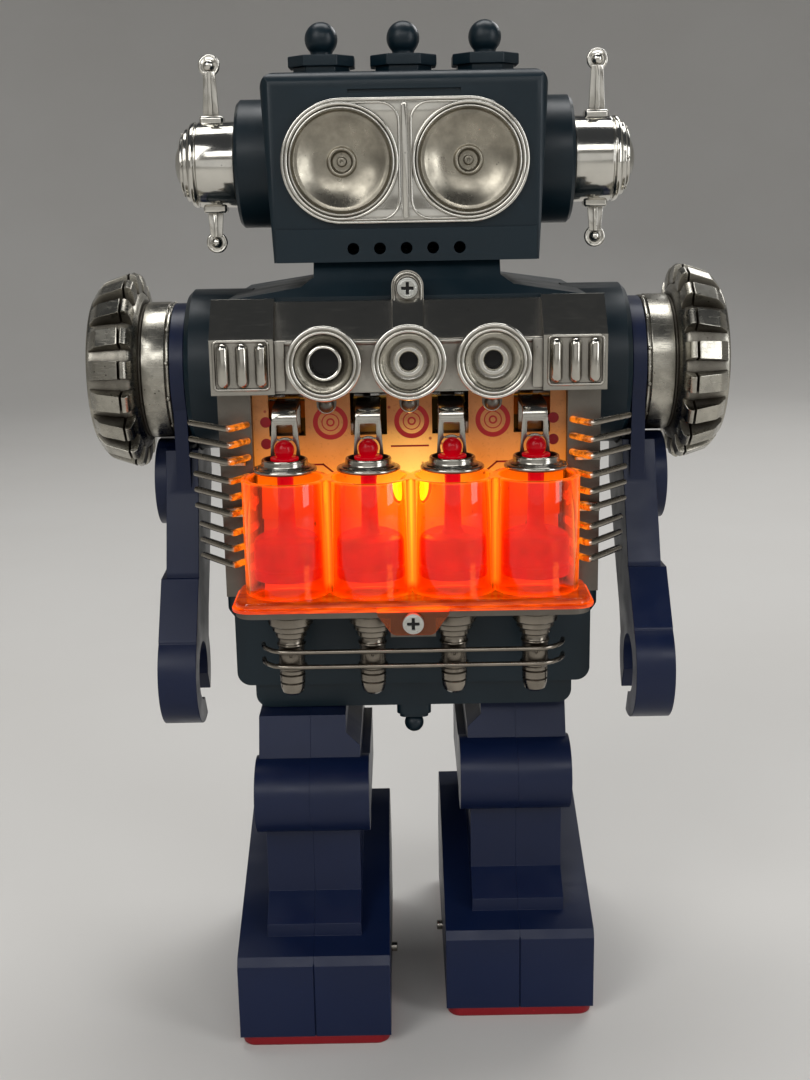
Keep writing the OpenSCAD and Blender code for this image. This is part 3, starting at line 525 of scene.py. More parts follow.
def printed():
    """Printed foil card: gold ground, three red ring targets and scattered dots, with a painted glow from the
    lamp.
    """
    f = Finish("printed_card", Roughness=0.42, Emission_Strength=1.0, Specular_IOR_Level=0.4)
    gold = f.mix(f.noise(9, 4), srgb(196, 140, 84), srgb(160, 104, 56))
    gold = f.mix(f.span(f.noise(0.7, 2), 0.6, 0.7, 0, 0.3), gold, srgb(112, 60, 30))
    ink = srgb(152, 18, 22)
    nearest = None
    for i in (-1, 0, 1):
        away = f.distance((i * triple_pitch + 0.6, card_low.y, rings_z))
        nearest = away if nearest is None else f.math("MINIMUM", nearest, away)
    value = f.math("DIVIDE", nearest, TARGET_REACH * MM)
    shades = ((0, 0, 0, 1), (1, 1, 1, 1))
    stops = [(r / TARGET_REACH, shades[i % 2]) for i, r in enumerate((0, *RING_RADII))]
    rings = f.ramp(value, stops, constant=True)
    dots = f.math("MULTIPLY", f.spots(4.2, 0.13), f.span(value, 0.9, 1.0, 0, 0.8))
    base = f.mix(rings, gold, ink)
    base = f.mix(dots, base, srgb(110, 20, 18))
    # Painted glow: emission that stands in for the lamp's light on the card, yellow near the lamp; the ink
    # stays dark.
    height = f.along("Z")
    stops = [(0.0, (0.6, 0.13, 0.006, 1)), (0.35, (1.0, 0.44, 0.03, 1)), (0.6, (0.5, 0.15, 0.012, 1)),
             (1.0, (0.05, 0.018, 0.004, 1))]
    glow = f.ramp(f.span(height, card_low.z * MM, (rings_z - 1) * MM, 0, 1), stops)
    near = f.span(f.distance(lamp), 0.006, 0.022, 1, 0)
    glow = f.mix(near, glow, (1.0, 0.6, 0.12, 1))
    glow = f.mix(f.math("MAXIMUM", rings, dots), glow, (0.05, 0.001, 0.001, 1))
    f.bump(f.noise(12, 2), 0.2, 0.1)
    return f.feed(Base_Color=base, Emission_Color=glow)


def lamp_glass():
    f = Finish("lamp_glass", Roughness=0.1, IOR=1.5, Emission_Strength=14.0)
    hot = f.mix(f.noise(1.6, 2), (1.0, 0.72, 0.28, 1), (1.0, 0.55, 0.14, 1))
    return f.feed(Base_Color=hot, Emission_Color=hot)


def plain_metal(name, colour, roughness):
    f = Finish(name, Metallic=1.0)
    cloud = f.noise(5, 4)
    base = f.mix(cloud, shade(colour, 0.8), shade(colour, 1.1))
    brush = f.noise(0.5, 3, where=f.stretched((0.15, 1.0, 1.0)))
    f.bump(brush, 0.2, 0.03)
    return f.feed(Base_Color=base, Roughness=f.span(cloud, 0.3, 0.7, roughness, roughness + 0.15))


def roller_finish():
    """Black rubber roller; the axle that sticks out of it is steel."""
    f = Finish("roller_black")
    across = f.off_centre()
    off = f.math("ABSOLUTE", f.math("SUBTRACT", across, boot_seam_x * MM))
    axle = f.span(off, 4.2 * MM, 4.3 * MM, 0, 1)
    grain = f.noise(1.2, 4)
    base = f.mix(axle, f.mix(grain, srgb(18, 18, 20), srgb(34, 33, 34)), srgb(150, 146, 138))
    f.bump(grain, 0.3, 0.05)
    return f.feed(Base_Color=base, Metallic=axle, Roughness=f.span(axle, 0, 1, 0.6, 0.25))


def sleeve():
    """Battery sleeve: two-tone band with a fine seam."""
    f = Finish("cell_sleeve", Roughness=0.3)
    height = f.along("Z")
    band_z = span("batteries")[1].z - 18
    band = f.span(height, band_z * MM, (band_z + 0.4) * MM, 0, 1)
    base = f.mix(band, srgb(36, 38, 44), srgb(196, 122, 40))
    f.bump(f.noise(3, 2), 0.1, 0.05)
    return f.feed(Base_Color=base)


SLATE = srgb(11, 28, 36)
NAVY = srgb(11, 23, 52)
CHROME = srgb(216, 213, 204)
# The three darker plating colours below are copies of CHROME darkened as painted shade, for dimmer
# reflections on the engine, the stacks, and the wheels and drums, where wear adds to it.
ENGINE_SHADE_CHROME = srgb(188, 184, 174)
STACK_SHADE_CHROME = srgb(150, 142, 130)
WORN_SHADE_CHROME = srgb(186, 182, 170)
FINISHES = {
    "slate_plastic": moulded("slate_plastic", SLATE, 0.36),
    "navy_plastic": moulded("navy_plastic", NAVY, 0.34),
    "plated_plastic": plated("plated_plastic", CHROME, 0.09, shade_soil_strength=0.55, wear=0.25),
    "engine_shade_plated": plated("engine_shade_plated", ENGINE_SHADE_CHROME, 0.1, shade_soil_strength=0.95, wear=0.35, reach=7),
    "frame_plated": plated("frame_plated", ENGINE_SHADE_CHROME, 0.1, shade_soil_strength=0.9, wear=0.35, reach=7, under_manifold_shade=0.72),
    "stack_shade_plated": plated("stack_shade_plated", STACK_SHADE_CHROME, 0.12, shade_soil_strength=1.0, wear=0.6, reach=7),
    # Wheels and drums: real wear, on a colour darkened as painted shade.
    "worn_shade_plated": plated("worn_shade_plated", WORN_SHADE_CHROME, 0.16, shade_soil_strength=1.0, wear=0.9, wave=0.7, reach=4.5),
    "satin_plated": satin_plated("satin_plated", srgb(158, 152, 138)),
    "lit_fins": lit_fins(),
    "amber_plastic": amber(),
    "red_plastic": lit_red(),
    "red_sole": moulded("red_sole", srgb(128, 14, 24), 0.42),
    "printed_card": printed(),
    "zinc_steel": plain_metal("zinc_steel", srgb(196, 196, 190), 0.22),
    "nylon": moulded("nylon", srgb(214, 208, 190), 0.45, 1.1),
    # Black for the painted shade discs in holes and recesses.
    "black_plastic": moulded("black_plastic", srgb(16, 15, 15), 0.5),
    "roller_black": roller_finish(),
    "lamp_glass": lamp_glass(),
    "cell_sleeve": sleeve(),
    "fibre": moulded("fibre", srgb(96, 58, 34), 0.6, 1.2),
}

# ---- Pieces ----


def smooth_by_angle(limit):
    """Node group that smooths all faces and keeps edges sharper than the limit."""
    group = bpy.data.node_groups.new("smooth_by_angle", "GeometryNodeTree")
    for way in ("INPUT", "OUTPUT"):
        group.interface.new_socket("Geometry", in_out=way, socket_type="NodeSocketGeometry")
    enter = group.nodes.new("NodeGroupInput")
    leave = group.nodes.new("NodeGroupOutput")
    angle = group.nodes.new("GeometryNodeInputMeshEdgeAngle")
    sharp = group.nodes.new("FunctionNodeCompare")
    sharp.operation = "GREATER_THAN"
    sharp.inputs[1].default_value = radians(limit)
    faces = group.nodes.new("GeometryNodeSetShadeSmooth")
    edges = group.nodes.new("GeometryNodeSetShadeSmooth")
    edges.domain = "EDGE"
    edges.inputs["Shade Smooth"].default_value = False
    group.links.new(enter.outputs[0], faces.inputs["Geometry"])
    group.links.new(faces.outputs[0], edges.inputs["Geometry"])
    group.links.new(angle.outputs["Unsigned Angle"], sharp.inputs[0])
    group.links.new(sharp.outputs[0], edges.inputs["Selection"])
    group.links.new(edges.outputs[0], leave.inputs[0])
    return group


SMOOTH = smooth_by_angle(32)


def soften(thing, bevel, segments=2, cad=False, flat=False):
    """Rounds sharp edges and shades the rest smooth, by modifiers alone."""
    if cad:
        weld = thing.modifiers.new("weld", "WELD")
        weld.merge_threshold = 0.002 * MM
        flats = thing.modifiers.new("flats", "DECIMATE")
        flats.decimate_type = "DISSOLVE"
        flats.angle_limit = radians(0.6)
    if bevel > 0:
        edge = thing.modifiers.new("edges", "BEVEL")
        edge.width = bevel * MM
        edge.segments = segments
        edge.limit_method = "ANGLE"
        edge.angle_limit = radians(32)
        edge.use_clamp_overlap = True
    look = thing.modifiers.new("smooth", "NODES")
    look.node_group = SMOOTH
    if cad or flat:
        weigh = thing.modifiers.new("flat_faces", "WEIGHTED_NORMAL")
        weigh.keep_sharp = True
        weigh.weight = 80


def as_object(name, part, material):
    """Object in the scene, in metres, from a part in millimetres."""
    part.transform(Matrix.Scale(MM, 4))
    mesh = bpy.data.meshes.new(name)
    part.to_mesh(mesh)
    part.free()
    mesh.materials.append(material)
    thing = bpy.data.objects.new(name, mesh)
    bpy.context.scene.collection.objects.link(thing)
    return thing


def piece(name, part, body, finish, stands_for=(), bevel=0.2, segments=2, flat=False):
    """A modelled piece that rides on a body, in place of the CAD nodes that it stands for."""
    bmesh.ops.remove_doubles(part, verts=part.verts[:], dist=1e-5)
    bmesh.ops.recalc_face_normals(part, faces=part.faces[:])
    thing = as_object(name, part, FINISHES[finish])
    soften(thing, bevel, segments, flat=flat)
    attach(thing, body)
    if stands_for:
        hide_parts(*stands_for)


def keep(node, finish, bevel=0.3, segments=2):
    """A CAD node that stays, with a finish and softened edges."""
    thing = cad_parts[node]
    thing.data.materials.clear()
    thing.data.materials.append(FINISHES[finish])
    normals = thing.data.attributes.get("custom_normal")
    if normals:
        thing.data.attributes.remove(normals)
    soften(thing, bevel, segments, cad=True)


# ---- Head ----


def d_shape(side, inset):
    """Outline round one eye: a half circle outside, straight edges and round corners at the middle."""
    r = bezel_r - inset
    inner = 1.6
    corner = 5.0
    points = arc(eye_x, 0, r, -90, 90, 28)
    points += arc(inner + corner, r - corner, corner, 90, 180, 6)
    points += arc(inner + corner, corner - r, corner, 180, 270, 6)
    return [(side * px, pz) for px, pz in points]


def eye_bezel():
    """Capsule plate with a rolled rim, a thin border and a bead round each eye, and a rib between them."""
    hole_r = 13.4

    def capsule(inset):
        r = bezel_r - inset
        return arc(eye_x, 0, r, -90, 90, 36) + arc(-eye_x, 0, r, 90, 270, 36)

    parts = [plate(capsule(0.1), 0, 1.45, [ring(hole_r, 72, side * eye_x) for side in SIDES])]
    parts.append(rod([(x, z, 1.4) for x, z in capsule(0.5)], 0.5, 14, closed=True))
    for side in SIDES:
        border = [(x, z, 1.45) for x, z in d_shape(side, 1.25)]
        parts.append(rod(border, 0.34, 12, closed=True))
        profile = [(hole_r, 0.2)] + arc(hole_r + 0.4, 1.75, 0.4, 180, 20, 6) + [(hole_r + 0.9, 1.5)]
        profile += arc(hole_r + 1.45, 1.75, 0.5, 160, 0, 6) + [(hole_r + 1.95, 0.2)]
        parts.append(placed(turned(profile, 96), (side * eye_x, 0, 0)))
    rib = rectangle(-0.8, 0.8, -bezel_r + 1.4, bezel_r - 1.4, 0.8)
    parts.append(plate(rib, 1, 2.2))
    part = placed(merged(parts), (0, face_y, eye_z), FRONT)
    piece("eye_bezel_trim", part, "torso", "plated_plastic", ["eye_bezel"], 0.2)


def eye_dishes():
    """Hazed cones with rolled rims and a socketed boss."""
    profile = [(0, -4.4), (3.6, -4.4), (12.3, -0.6), (13.7, 0.15), (13.7, 1.4)]
    profile += [(13.3, 2.7), (13.1, 2.1), (12.7, 1.75), (12.0, 1.7)]
    cone = (0, 0.12, 0.25, 0.4, 0.55, 0.7, 0.85, 1)
    profile += [(11.7 - 7.3 * t, 1.55 - 2.9 * t - 0.55 * sin(pi * t)) for t in cone]
    profile += [(4.1, -1.35), (3.9, -0.5)] + arc(3.35, -0.35, 0.5, 0, 180, 6)
    profile += [(2.75, -1.1), (2.5, -2.6), (1.35, -2.6), (1.3, -0.6), (1.05, -0.25), (0.45, -0.2)]
    profile += [(0.35, -1.0), (0, -1.0)]
    parts = [placed(turned(profile, 96), (side * eye_x, face_y, eye_z), FRONT) for side in SIDES]
    piece("eye_reflectors", merged(parts), "torso", "satin_plated", ["eye_dishes"], 0.06)


def ear_pods():
    """Stepped plated pods with rivets, and flats where the aerials leave."""
    for side, word in SIDES.items():
        r = (pod_high.y - pod_low.y) / 2
        profile = [(0, 0), (7, 0), (7, 3.4), (5, 3.4), (5, 6.4), (r - 0.5, 6.4), (r, 6.9), (r, 17.4)]
        profile += [(r - 0.45, 17.7), (r - 0.45, 18.1), (r, 18.4)] + arc(r - 1.3, 18.8, 1.2, 10, 80, 4)
        profile += [(10.4, 20.1), (10.2, 20.3), (10.2, 21.1), (9.7, 21.5), (8.6, 21.6), (8.5, 22.3)]
        profile += [(8.0, 22.7), (6.0, 22.8)]
        profile += [(5.4 * px, 22.8 + 1.9 * pz) for px, pz in at_angles(1, (8, 30, 50, 70))]
        profile += [(0, pod_high.x - pod_low.x)]
        parts = [turned(profile, 96)]
        for x, y in at_angles(9.45, range(30, 390, 60)):
            rivet = turned([(0, 21.2)] + dome(0.65, 0.55, 21.55), 12)
            parts.append(placed(rivet, (x, y, 0)))
        seat = rectangle(-13.5, 13.5, -3.1, 3.1, 0.9)
        inset = rectangle(-13.0, 13.0, -2.6, 2.6, 0.6)
        parts.append(lofted([(inset, 10.2), (seat, 10.7), (seat, 16.4), (inset, 16.9)]))
        part = placed(merged(parts), (side * pod_low.x, axis_y, ear_z), outward(side))
        piece(f"ear_pod_trim_{word}", part, f"ear_{word}", "plated_plastic", [f"ear_pod_{word}"], 0.22)


def aerial(length):
    """Tapered ridged arm with a ball inside a thin ring at its tip."""
    base = 11.5
    arm_end = length - 1.6
    arm = rounded([(-2.4, base), (2.4, base), (1.65, arm_end), (-1.65, arm_end)], 0.3)
    ridge = rounded([(-0.65, base), (0.65, base), (0.4, arm_end), (-0.4, arm_end)], 0.1)
    parts = [placed(plate(arm, -0.75, 0.75), turn=FRONT), placed(plate(ridge, -1.5, 1.5), turn=FRONT)]
    parts.append(placed(ball(1.75), (0, 0, length), FRONT))
    web = plate(ring(2.5, 36), -0.4, 0.4)
    parts.append(placed(web, (0, 0, length), FRONT))
    hoop = at_angles(2.6, range(0, 360, 12), 0, length)
    parts.append(rod([(x, 0, z) for x, z in hoop], 0.5, 12, closed=True))
    return merged(parts)


def aerials():
    low, high = span("antennas_left")
    hoop_r = 3.1
    reach_up = high.z - ear_z - hoop_r
    reach_down = ear_z - low.z - hoop_r
    x = (low.x + high.x) / 2
    for side, word in SIDES.items():
        upper = aerial(reach_up)
        lower = placed(aerial(reach_down), turn=Matrix.Rotation(pi, 4, "Y"))
        part = placed(merged([upper, lower]), (side * x, axis_y, ear_z))
        piece(f"aerials_{word}", part, f"ear_{word}", "plated_plastic", [f"antennas_{word}"], 0.15)


# ---- Engine ----


def horn(hole_r, nut):
    """Flared horn with a double rolled rim; a nut ring or a thin tube stands round its hole."""
    r = horn_r
    outside = [(hole_r, 0), (5.6, 0), (5.7, 1.4), (6.3, 3.3), (7.6, 4.7), (9.0, 5.5), (r - 0.2, 6.4)]
    rim = arc(r - 0.6, 7.6, 0.6, -40, 130, 6) + [(r - 1.25, 7.75)] + arc(r - 1.75, 8.0, 0.45, 60, 190, 6)
    cone = [(r - 2.4, 7.4), (6.7, 6.1), (5.5, 5.0), (4.9, 4.2)]
    if nut:
        boss = [(4.3, 4.0), (4.15, 5.1), (3.7, 5.5), (hole_r + 0.5, 5.5), (hole_r, 5.0)]
    else:
        boss = [(4.9, 4.1), (4.75, 5.5)] + arc(4.25, 5.6, 0.5, 0, 180, 4) + [(hole_r, 5.2)]
    return turned(outside + rim + cone + boss, 84)


def intake_horns():
    parts, hole_shade_discs = [], []
    for i in (-1, 0, 1):
        hole_r = 3.7 if i == -1 else 2.4
        where = (i * triple_pitch, manifold_y, horn_z)
        parts.append(placed(horn(hole_r, i != -1), where, FRONT))
        # Painted shade: a black disc fills the base of each hole.
        shade_disc_r = hole_r - 0.02
        throat = turned([(0, 0.05), (shade_disc_r, 0.05), (shade_disc_r, 0.6), (0, 0.35)], 36)
        hole_shade_discs.append(placed(throat, where, FRONT))
    piece("horns", merged(parts), "torso", "plated_plastic", ["intake_horns"], 0.12)
    piece("horn_hole_shade", merged(hole_shade_discs), "torso", "black_plastic", (), 0.0)


def engine_trim():
    """Raised borders, steps and beads that stand on the plated engine frame."""
    front = axis_y - 45.8
    parts = []
    for side in SIDES:
        border = [(37.2, -7.2), (51.7, -7.2), (51.7, 5.6), (37.2, 5.6)]
        border = rounded([(side * x, horn_z + z) for x, z in border], 1.0)
        parts.append(rod([(x, front, z) for x, z in border], 0.42, 10, closed=True))
        step = rectangle(*sorted((side * 33.0, side * 36.2)), horn_z - 7.9, horn_z + 5.1, 0.5)
        parts.append(placed(plate(step, 0, 0.9), (0, manifold_y + 0.01, 0), FRONT))
        for i in (-1, 0, 1):
            x = side * (44.2 + 5.1 * i)
            path = [(x, front, horn_z + z) for z in (-5.1, -0.8, 3.5)]
            parts.append(rod(path, 1.72, 16))
    tab = [(-3.6, horn_z + 9.2), (3.6, horn_z + 9.2)] + arc(0, top_screw.z + 0.4, 3.6, 0, 180, 14)
    parts.append(rod([(x, top_screw.y, z) for x, z in tab], 0.4, 10, closed=True))
    washer = turned([(2.9, -0.2), (3.3, -0.2), (3.3, 0.25), (2.9, 0.25)], 36)
    parts.append(placed(washer, top_screw, FRONT))
    edge = [(x, manifold_y + 0.35, horn_z + 4.7) for x in (-36, 0, 36)]
    parts.append(rod(edge, 0.75, 12))
    bead_y, bead_z = axis_y - 42.4, horn_z - 12
    for i in (-1, 0, 1):
        x = i * triple_pitch
        parts.append(placed(ball(1.9, 24), (x, bead_y, bead_z), FRONT))
        hoop = at_angles(2.3, range(0, 360, 15), x, bead_z)
        parts.append(rod([(px, bead_y, pz) for px, pz in hoop], 0.4, 10, closed=True))
    piece("engine_trim", merged(parts), "torso", "engine_shade_plated", (), 0.1)


def card_print():
    """Printed tracks on the card, as strips a few hundredths thick."""
    y = card_low.y
    one_side = [
        [(15.5, -14.7), (15.5, -10.2), (7.2, -10.2)],
        [(14.3, -14.7), (14.3, -11.4), (7.2, -11.4)],
        [(27.4, -11.7), (24, -11.7), (21.5, -13.8)],
        [(41, -11.7), (39.4, -11.7), (38, -14.8)],
    ]
    tracks = [[(side * x, z) for x, z in track] for track in one_side for side in (RIGHT, LEFT)]
    tracks.append([(-5, -6.9), (5, -6.9)])
    parts = []
    for track in tracks:
        for (x0, z0), (x1, z1) in zip(track, track[1:]):
            start, end = Vector((x0, z0)), Vector((x1, z1))
            along = (end - start).normalized() * 0.24
            across = Vector((-along.y, along.x))
            strip = [start - along - across, end + along - across, end + along + across,
                     start - along + across]
            parts.append(placed(plate([tuple(c) for c in strip], 0, 0.04), (0, y, rings_z), FRONT))
    for x in (-39.5, 39.5):
        for z in (0.3, -5.7):
            parts.append(placed(plate(ring(1.5, 24, x, z), 0, 0.05), (0, y, rings_z), FRONT))
    piece("card_print", merged(parts), "torso", "red_sole", (), 0.0)
    apron = plate(rectangle(-42.4, 42.4, tray_z + 0.6, card_low.z + 0.2), 0, 0.6)
    piece("card_apron", placed(apron, (0, y + 0.7, 0), FRONT), "torso", "printed_card", (), 0.1)


TUBE_R, BORE_R = 11.8, 10.2


def cylinder_block():
    """Four joined clear tubes on a lipped tray with rounded corners and a screw tab."""
    meet = degrees(acos(bore_pitch / 2 / TUBE_R))
    front, back = [], []
    for i, x in enumerate(cylinder_xs):
        start = -180 + (meet if i > 0 else 0)
        end = -(meet if i < 3 else 0)
        front += arc(x, bore_y, TUBE_R, start, end, 20)[: None if i == 3 else -1]
    for i, x in reversed(list(enumerate(cylinder_xs))):
        start = meet if i < 3 else 0
        end = 180 - (meet if i > 0 else 0)
        back += arc(x, bore_y, TUBE_R, start, end, 20)[(0 if i < 3 else 1): None if i == 0 else -1]
    outline = front + back[:-1]
    bores = [ring(BORE_R, 56, x, bore_y) for x in cylinder_xs]
    tubes = plate(outline, tray_top - 0.15, block_high.z, bores)
    low, high = block_low, block_high
    back_y = bore_y + 8.8

    def lip(inset):
        return rectangle(low.x + inset, high.x - inset, low.y + inset, back_y - inset, 5 - inset * 0.8, 8)

    layers = [(0.5, 0), (0.1, 0.15), (0, 0.45), (0, 1.0), (0.2, 1.25), (0.9, 1.3), (0.95, 1.45),
              (0.95, 2.2), (1.15, 2.5), (1.5, 2.7), (2.2, 2.7)]
    tray = lofted([(lip(inset), tray_z + z) for inset, z in layers])
    foot = tray_z - 6.3
    tab = rounded([(-9.5, tray_z + 0.8), (-9.5, tray_z - 0.6), (-5.4, foot), (5.4, foot), (9.5, tray_z - 0.6),
                   (9.5, tray_z + 0.8)], [0, 0.8, 2.4, 2.4, 0.8, 0])
    ear_tab = placed(plate(tab, -1.5, 0, [ring(1.5, 20, 0, low_screw.z)]), (0, low.y, 0), FRONT)
    part = merged([tubes, tray, ear_tab])
    piece("amber_block", part, "torso", "amber_plastic", ["cylinder_block"], 0.35, 3)


def fins():
    """Three groups of three chevron rods on each side, with thin ledges between the groups."""
    for side, word in SIDES.items():
        parts = []
        for group in range(3):
            for fin in range(3):
                z = fin_top - 2.4 - 14.3 * group - 4.5 * fin
                reach = 60.3 - 0.9 * group
                turn_at = (48.4, axis_y - 47.6)
                tip = Vector((reach, axis_y - 35.2))
                root = Vector((44.3, axis_y - 40.6))
                bend = Vector(turn_at)
                out = (tip - bend).normalized()
                home = (root - bend).normalized()
                path = [tip, bend + out * 1.0, bend + (out + home) * 0.3, bend + home * 1.0, root]
                parts.append(rod([(side * p.x, p.y, z) for p in path], 0.92, 12))
        for z in (fin_top - 11.9, fin_top - 26.2):
            ledge = rectangle(*sorted((side * 45.0, side * 52.0)), axis_y - 41.6, axis_y - 39.9, 0.3)
            parts.append(plate(ledge, z - 1.6, z - 0.9))
            parts.append(plate(ledge, z + 0.1, z + 0.8))
        piece(f"fin_rods_{word}", merged(parts), "torso", "lit_fins", [f"fins_{word}"], 0.0)


def exhaust_stacks():
    """Stepped cones with ringed necks, and two rails bent back round their ends."""
    top, tip = stack_high.z, stack_low.z
    profile = [(0, 0)]
    for radius, z, step in ((6.9, 0, 2.2), (6.2, 2.7, 2.2), (5.2, 5.3, 1.4), (4.3, 7.1, 1.4)):
        profile += [(radius, -z), (radius, -z - step), (radius - 0.4, -z - step - 0.35)]
    profile += [(3.6, -9.0), (3.6, -10.3)] + arc(3.55, -10.9, 0.45, 70, -70, 4)
    profile += [(3.6, -11.6), (3.6, -16.6)] + arc(3.6, -17.4, 0.6, 70, -70, 4)
    profile += [(3.5, -18.4), (3.55, -19.2), (3.2, -19.5), (3.55, -19.8), (3.5, -21.6), (3.15, -21.9)]
    profile += [(3.45, -22.2), (3.35, -23.4), (2.9, -24.8), (1.9, tip - top + 0.5), (0, tip - top)]
    parts = []
    for x in cylinder_xs:
        parts.append(placed(turned(profile, 40), (x, bore_y, top)))
        hole = turned([(0, -0.4), (0.75, -0.4), (0.75, 0.12), (0.5, 0.2), (0.45, -0.1), (0, -0.1)], 16)
        parts.append(placed(hole, (x, bore_y - 3.62, top - 13.5), FRONT))
    ends, bend_r, bend_y = cylinder_xs[3], 8.15, bore_y + 3.8
    outline = at_angles(bend_r, (0, -18, -36, -54, -72), ends, bend_y)
    outline += [(ends * t, bend_y - bend_r) for t in (1, 0.5, 0, -0.5, -1)]
    outline += at_angles(bend_r, (-108, -126, -144, -162, -180), -ends, bend_y)
    for z in (tip + 9.5, tip + 13.8):
        parts.append(rod([(x, y, z) for x, y in outline], 0.66, 12))
    piece("stacks_and_rails", merged(parts), "torso", "stack_shade_plated", ["exhaust_stacks"], 0.0)


def pistons():
    """Red piston, rod, washer and knurled ball, turned in one."""
    r, ball_r = 9.1, 2.7
    top = piston_high.z - piston_low.z
    ball_z = top - ball_r
    profile = [(0, 0), (r - 0.8, 0), (r - 0.15, 0.35), (r, 1.0), (r, 2.6), (r - 0.3, 2.9), (r - 0.3, 3.4)]
    profile += [(r, 3.7), (r, 9.8), (r - 0.35, 10.6), (r - 1.1, 10.9), (4.6, 10.9)]
    profile += [(3.1, 11.4), (2.4, 12.8), (2.2, 20.0)]
    profile += [(2.2, ball_z - 3.0), (3.8, ball_z - 2.7), (3.8, ball_z - 2.0), (1.9, ball_z - 1.95)]
    profile += at_angles(ball_r, (-42, -28, -14, 0, 16, 32, 48, 64, 78), 0, ball_z)
    profile += [(0, top)]
    for n, x in enumerate(cylinder_xs, 1):
        part = placed(turned(profile, 48), (x, bore_y, piston_low.z))
        piece(f"red_piston_{n}", part, f"piston_{n}", "red_plastic", [f"piston_{n}"], 0.1)


def rockers():
    """Plated strap bent over the rocker shaft, with a window above a wide cup for the ball."""
    shaft = middle("rocker_shaft")
    top = rocker_high.z + 1.4
    collar = rocker_low.z - 0.4
    front = bore_y + 3.0
    back = shaft.y
    bend = arc(front + 3.6, top - 3.6, 3.6, 180, 90, 8)
    under = arc(front + 3.6, top - 3.6, 2.2, 90, 180, 6)
    outline = [(front, collar + 8.0)] + bend
    outline += [(back + 1.3, top), (back + 1.3, shaft.z), (back - 1.3, shaft.z), (back - 1.3, top - 1.4)]
    outline += under + [(front + 1.4, collar + 8.0)]
    window = rectangle(-2.2, 2.2, shaft.z + 3.2, shaft.z + 7.2, 0.4)
    mouth = arc(0, shaft.z + 0.6, 3.1, 200, -20, 16)
    face = [(-4.1, collar + 2.4), (-3.4, shaft.z + 8.2), (3.4, shaft.z + 8.2), (4.1, collar + 2.4)]
    face += [(3.0, collar + 2.4)] + mouth[::-1] + [(-3.0, collar + 2.4)]
    for n, x in enumerate(cylinder_xs, 1):
        strap = placed(plate(outline, -3.3, 3.3), turn=PROFILE)
        strap_floor = shaft.z + 8.0
        bmesh.ops.bisect_plane(strap, geom=strap.verts[:] + strap.edges[:] + strap.faces[:],
                               plane_co=(0, front + 0.7, strap_floor), plane_no=(0, 0, 1))
        low = [f for f in strap.faces
               if f.calc_center_median().z < strap_floor and f.calc_center_median().y < front + 3.7]
        bmesh.ops.delete(strap, geom=low, context="FACES")
        bmesh.ops.holes_fill(strap, edges=[e for e in strap.edges if e.is_boundary], sides=0)
        leg = placed(plate(face, 0, 1.4, [window]), (0, front + 1.4, 0), FRONT)
        barrel = turned([(1.3, -3.9), (2.7, -3.9), (2.7, 3.9), (1.3, 3.9)], 24)
        parts = [strap, leg, placed(barrel, (0, back, shaft.z), outward(LEFT))]
        cup = [(3.5, 0), (7.8, 0)] + arc(8.0, 0.6, 0.6, -90, 90, 6)
        cup += [(7.5, 1.2), (7.2, 1.6), (6.4, 1.75), (6.25, 2.2), (6.2, 3.0)]
        cup += arc(5.75, 3.1, 0.45, 0, 180, 6) + [(5.2, 1.8), (3.5, 1.6)]
        parts.append(placed(turned(cup, 64), (0, bore_y, collar)))
        part = placed(merged(parts), (x, 0, 0))
        piece(f"rocker_arm_{n}", part, f"rocker_{n}", "engine_shade_plated", [f"rocker_{n}"], 0.15)


def lamp_bulb():
    low, high = span("lamp")
    r = (high.x - low.x) / 2
    front = at_angles(r, (78, 60, 45, 30, 15, 0, -15, -30, -42))
    profile = [(0, r)] + front + [(2.4, -2.9), (2.4, -9.2), (1.9, -9.6), (0, -9.6)]
    part = placed(turned(profile, 40), (lamp.x, low.y + r, (low.z + high.z) / 2), FRONT)
    piece("bulb", part, "torso", "lamp_glass", ["lamp"], 0.0)


def screws():
    """Pan heads with a cross recess, each on its shank."""
    spots = [(top_screw, FRONT), (low_screw, FRONT)]
    low, high = span("torso_rear")
    head_y = span("head_rear")[1].y
    for x, y, z in ((46, high.y, low.z + 7), (38, high.y, low.z + 102), (28, head_y, eye_z)):
        spots += [(Vector((side * x, y, z)), BACK) for side in (RIGHT, LEFT)]
    arm, reach = 0.42, 1.65
    cross = [(arm, -reach), (arm, -arm), (reach, -arm), (reach, arm), (arm, arm), (arm, reach),
             (-arm, reach), (-arm, arm), (-reach, arm), (-reach, -arm), (-arm, -arm), (-arm, -reach)]
    parts, recess_shade_discs = [], []
    for where, turn in spots:
        shank = turned([(0, -5), (1.25, -5), (1.25, 0.1), (2.8, 0.1), (2.8, 0.65), (0, 0.65)], 32)
        cap = plate(ring(2.8, 40), 0.6, 1.45, [cross])
        crown = turned([(1.9, 1.3), (2.45, 1.3), (2.2, 1.5), (1.95, 1.5)], 32)
        parts.append(placed(merged([shank, cap, crown]), where, turn))
        # Painted shade: a black disc under each cross recess.
        recess_shade_discs.append(placed(turned([(0, 0.66), (1.9, 0.66), (1.8, 0.85), (0, 0.72)], 24), where, turn))
    piece("screw_heads", merged(parts), "torso", "zinc_steel", ["screws"], 0.1)
    piece("screw_recess_shade", merged(recess_shade_discs), "torso", "black_plastic", (), 0.0)


# ---- Arms ----

LUGS = 18
REST_SWING = 3


def swung(part, side):
    """Puts a piece made round the shoulder axis at the arm's place at rest."""
    return placed(part, (0, wheel.y, wheel.z), Matrix.Rotation(radians(-REST_SWING * side), 4, "X"))


def tooth(outline, top, foot):
    """A lug with this outline, half as wide at its top and at its foot as given."""
    low, high = min(p[1] for p in outline), max(p[1] for p in outline)
    part = bmesh.new()
    sides = []
    for way in (-1, 1):
        widths = [foot + (top - foot) * (z - low) / (high - low) for x, z in outline]
        sides.append([part.verts.new((x, way * w, z)) for (x, z), w in zip(outline, widths)])
    bridge(part, [sides])
    for side in sides:
        part.faces.new(side)
    return part


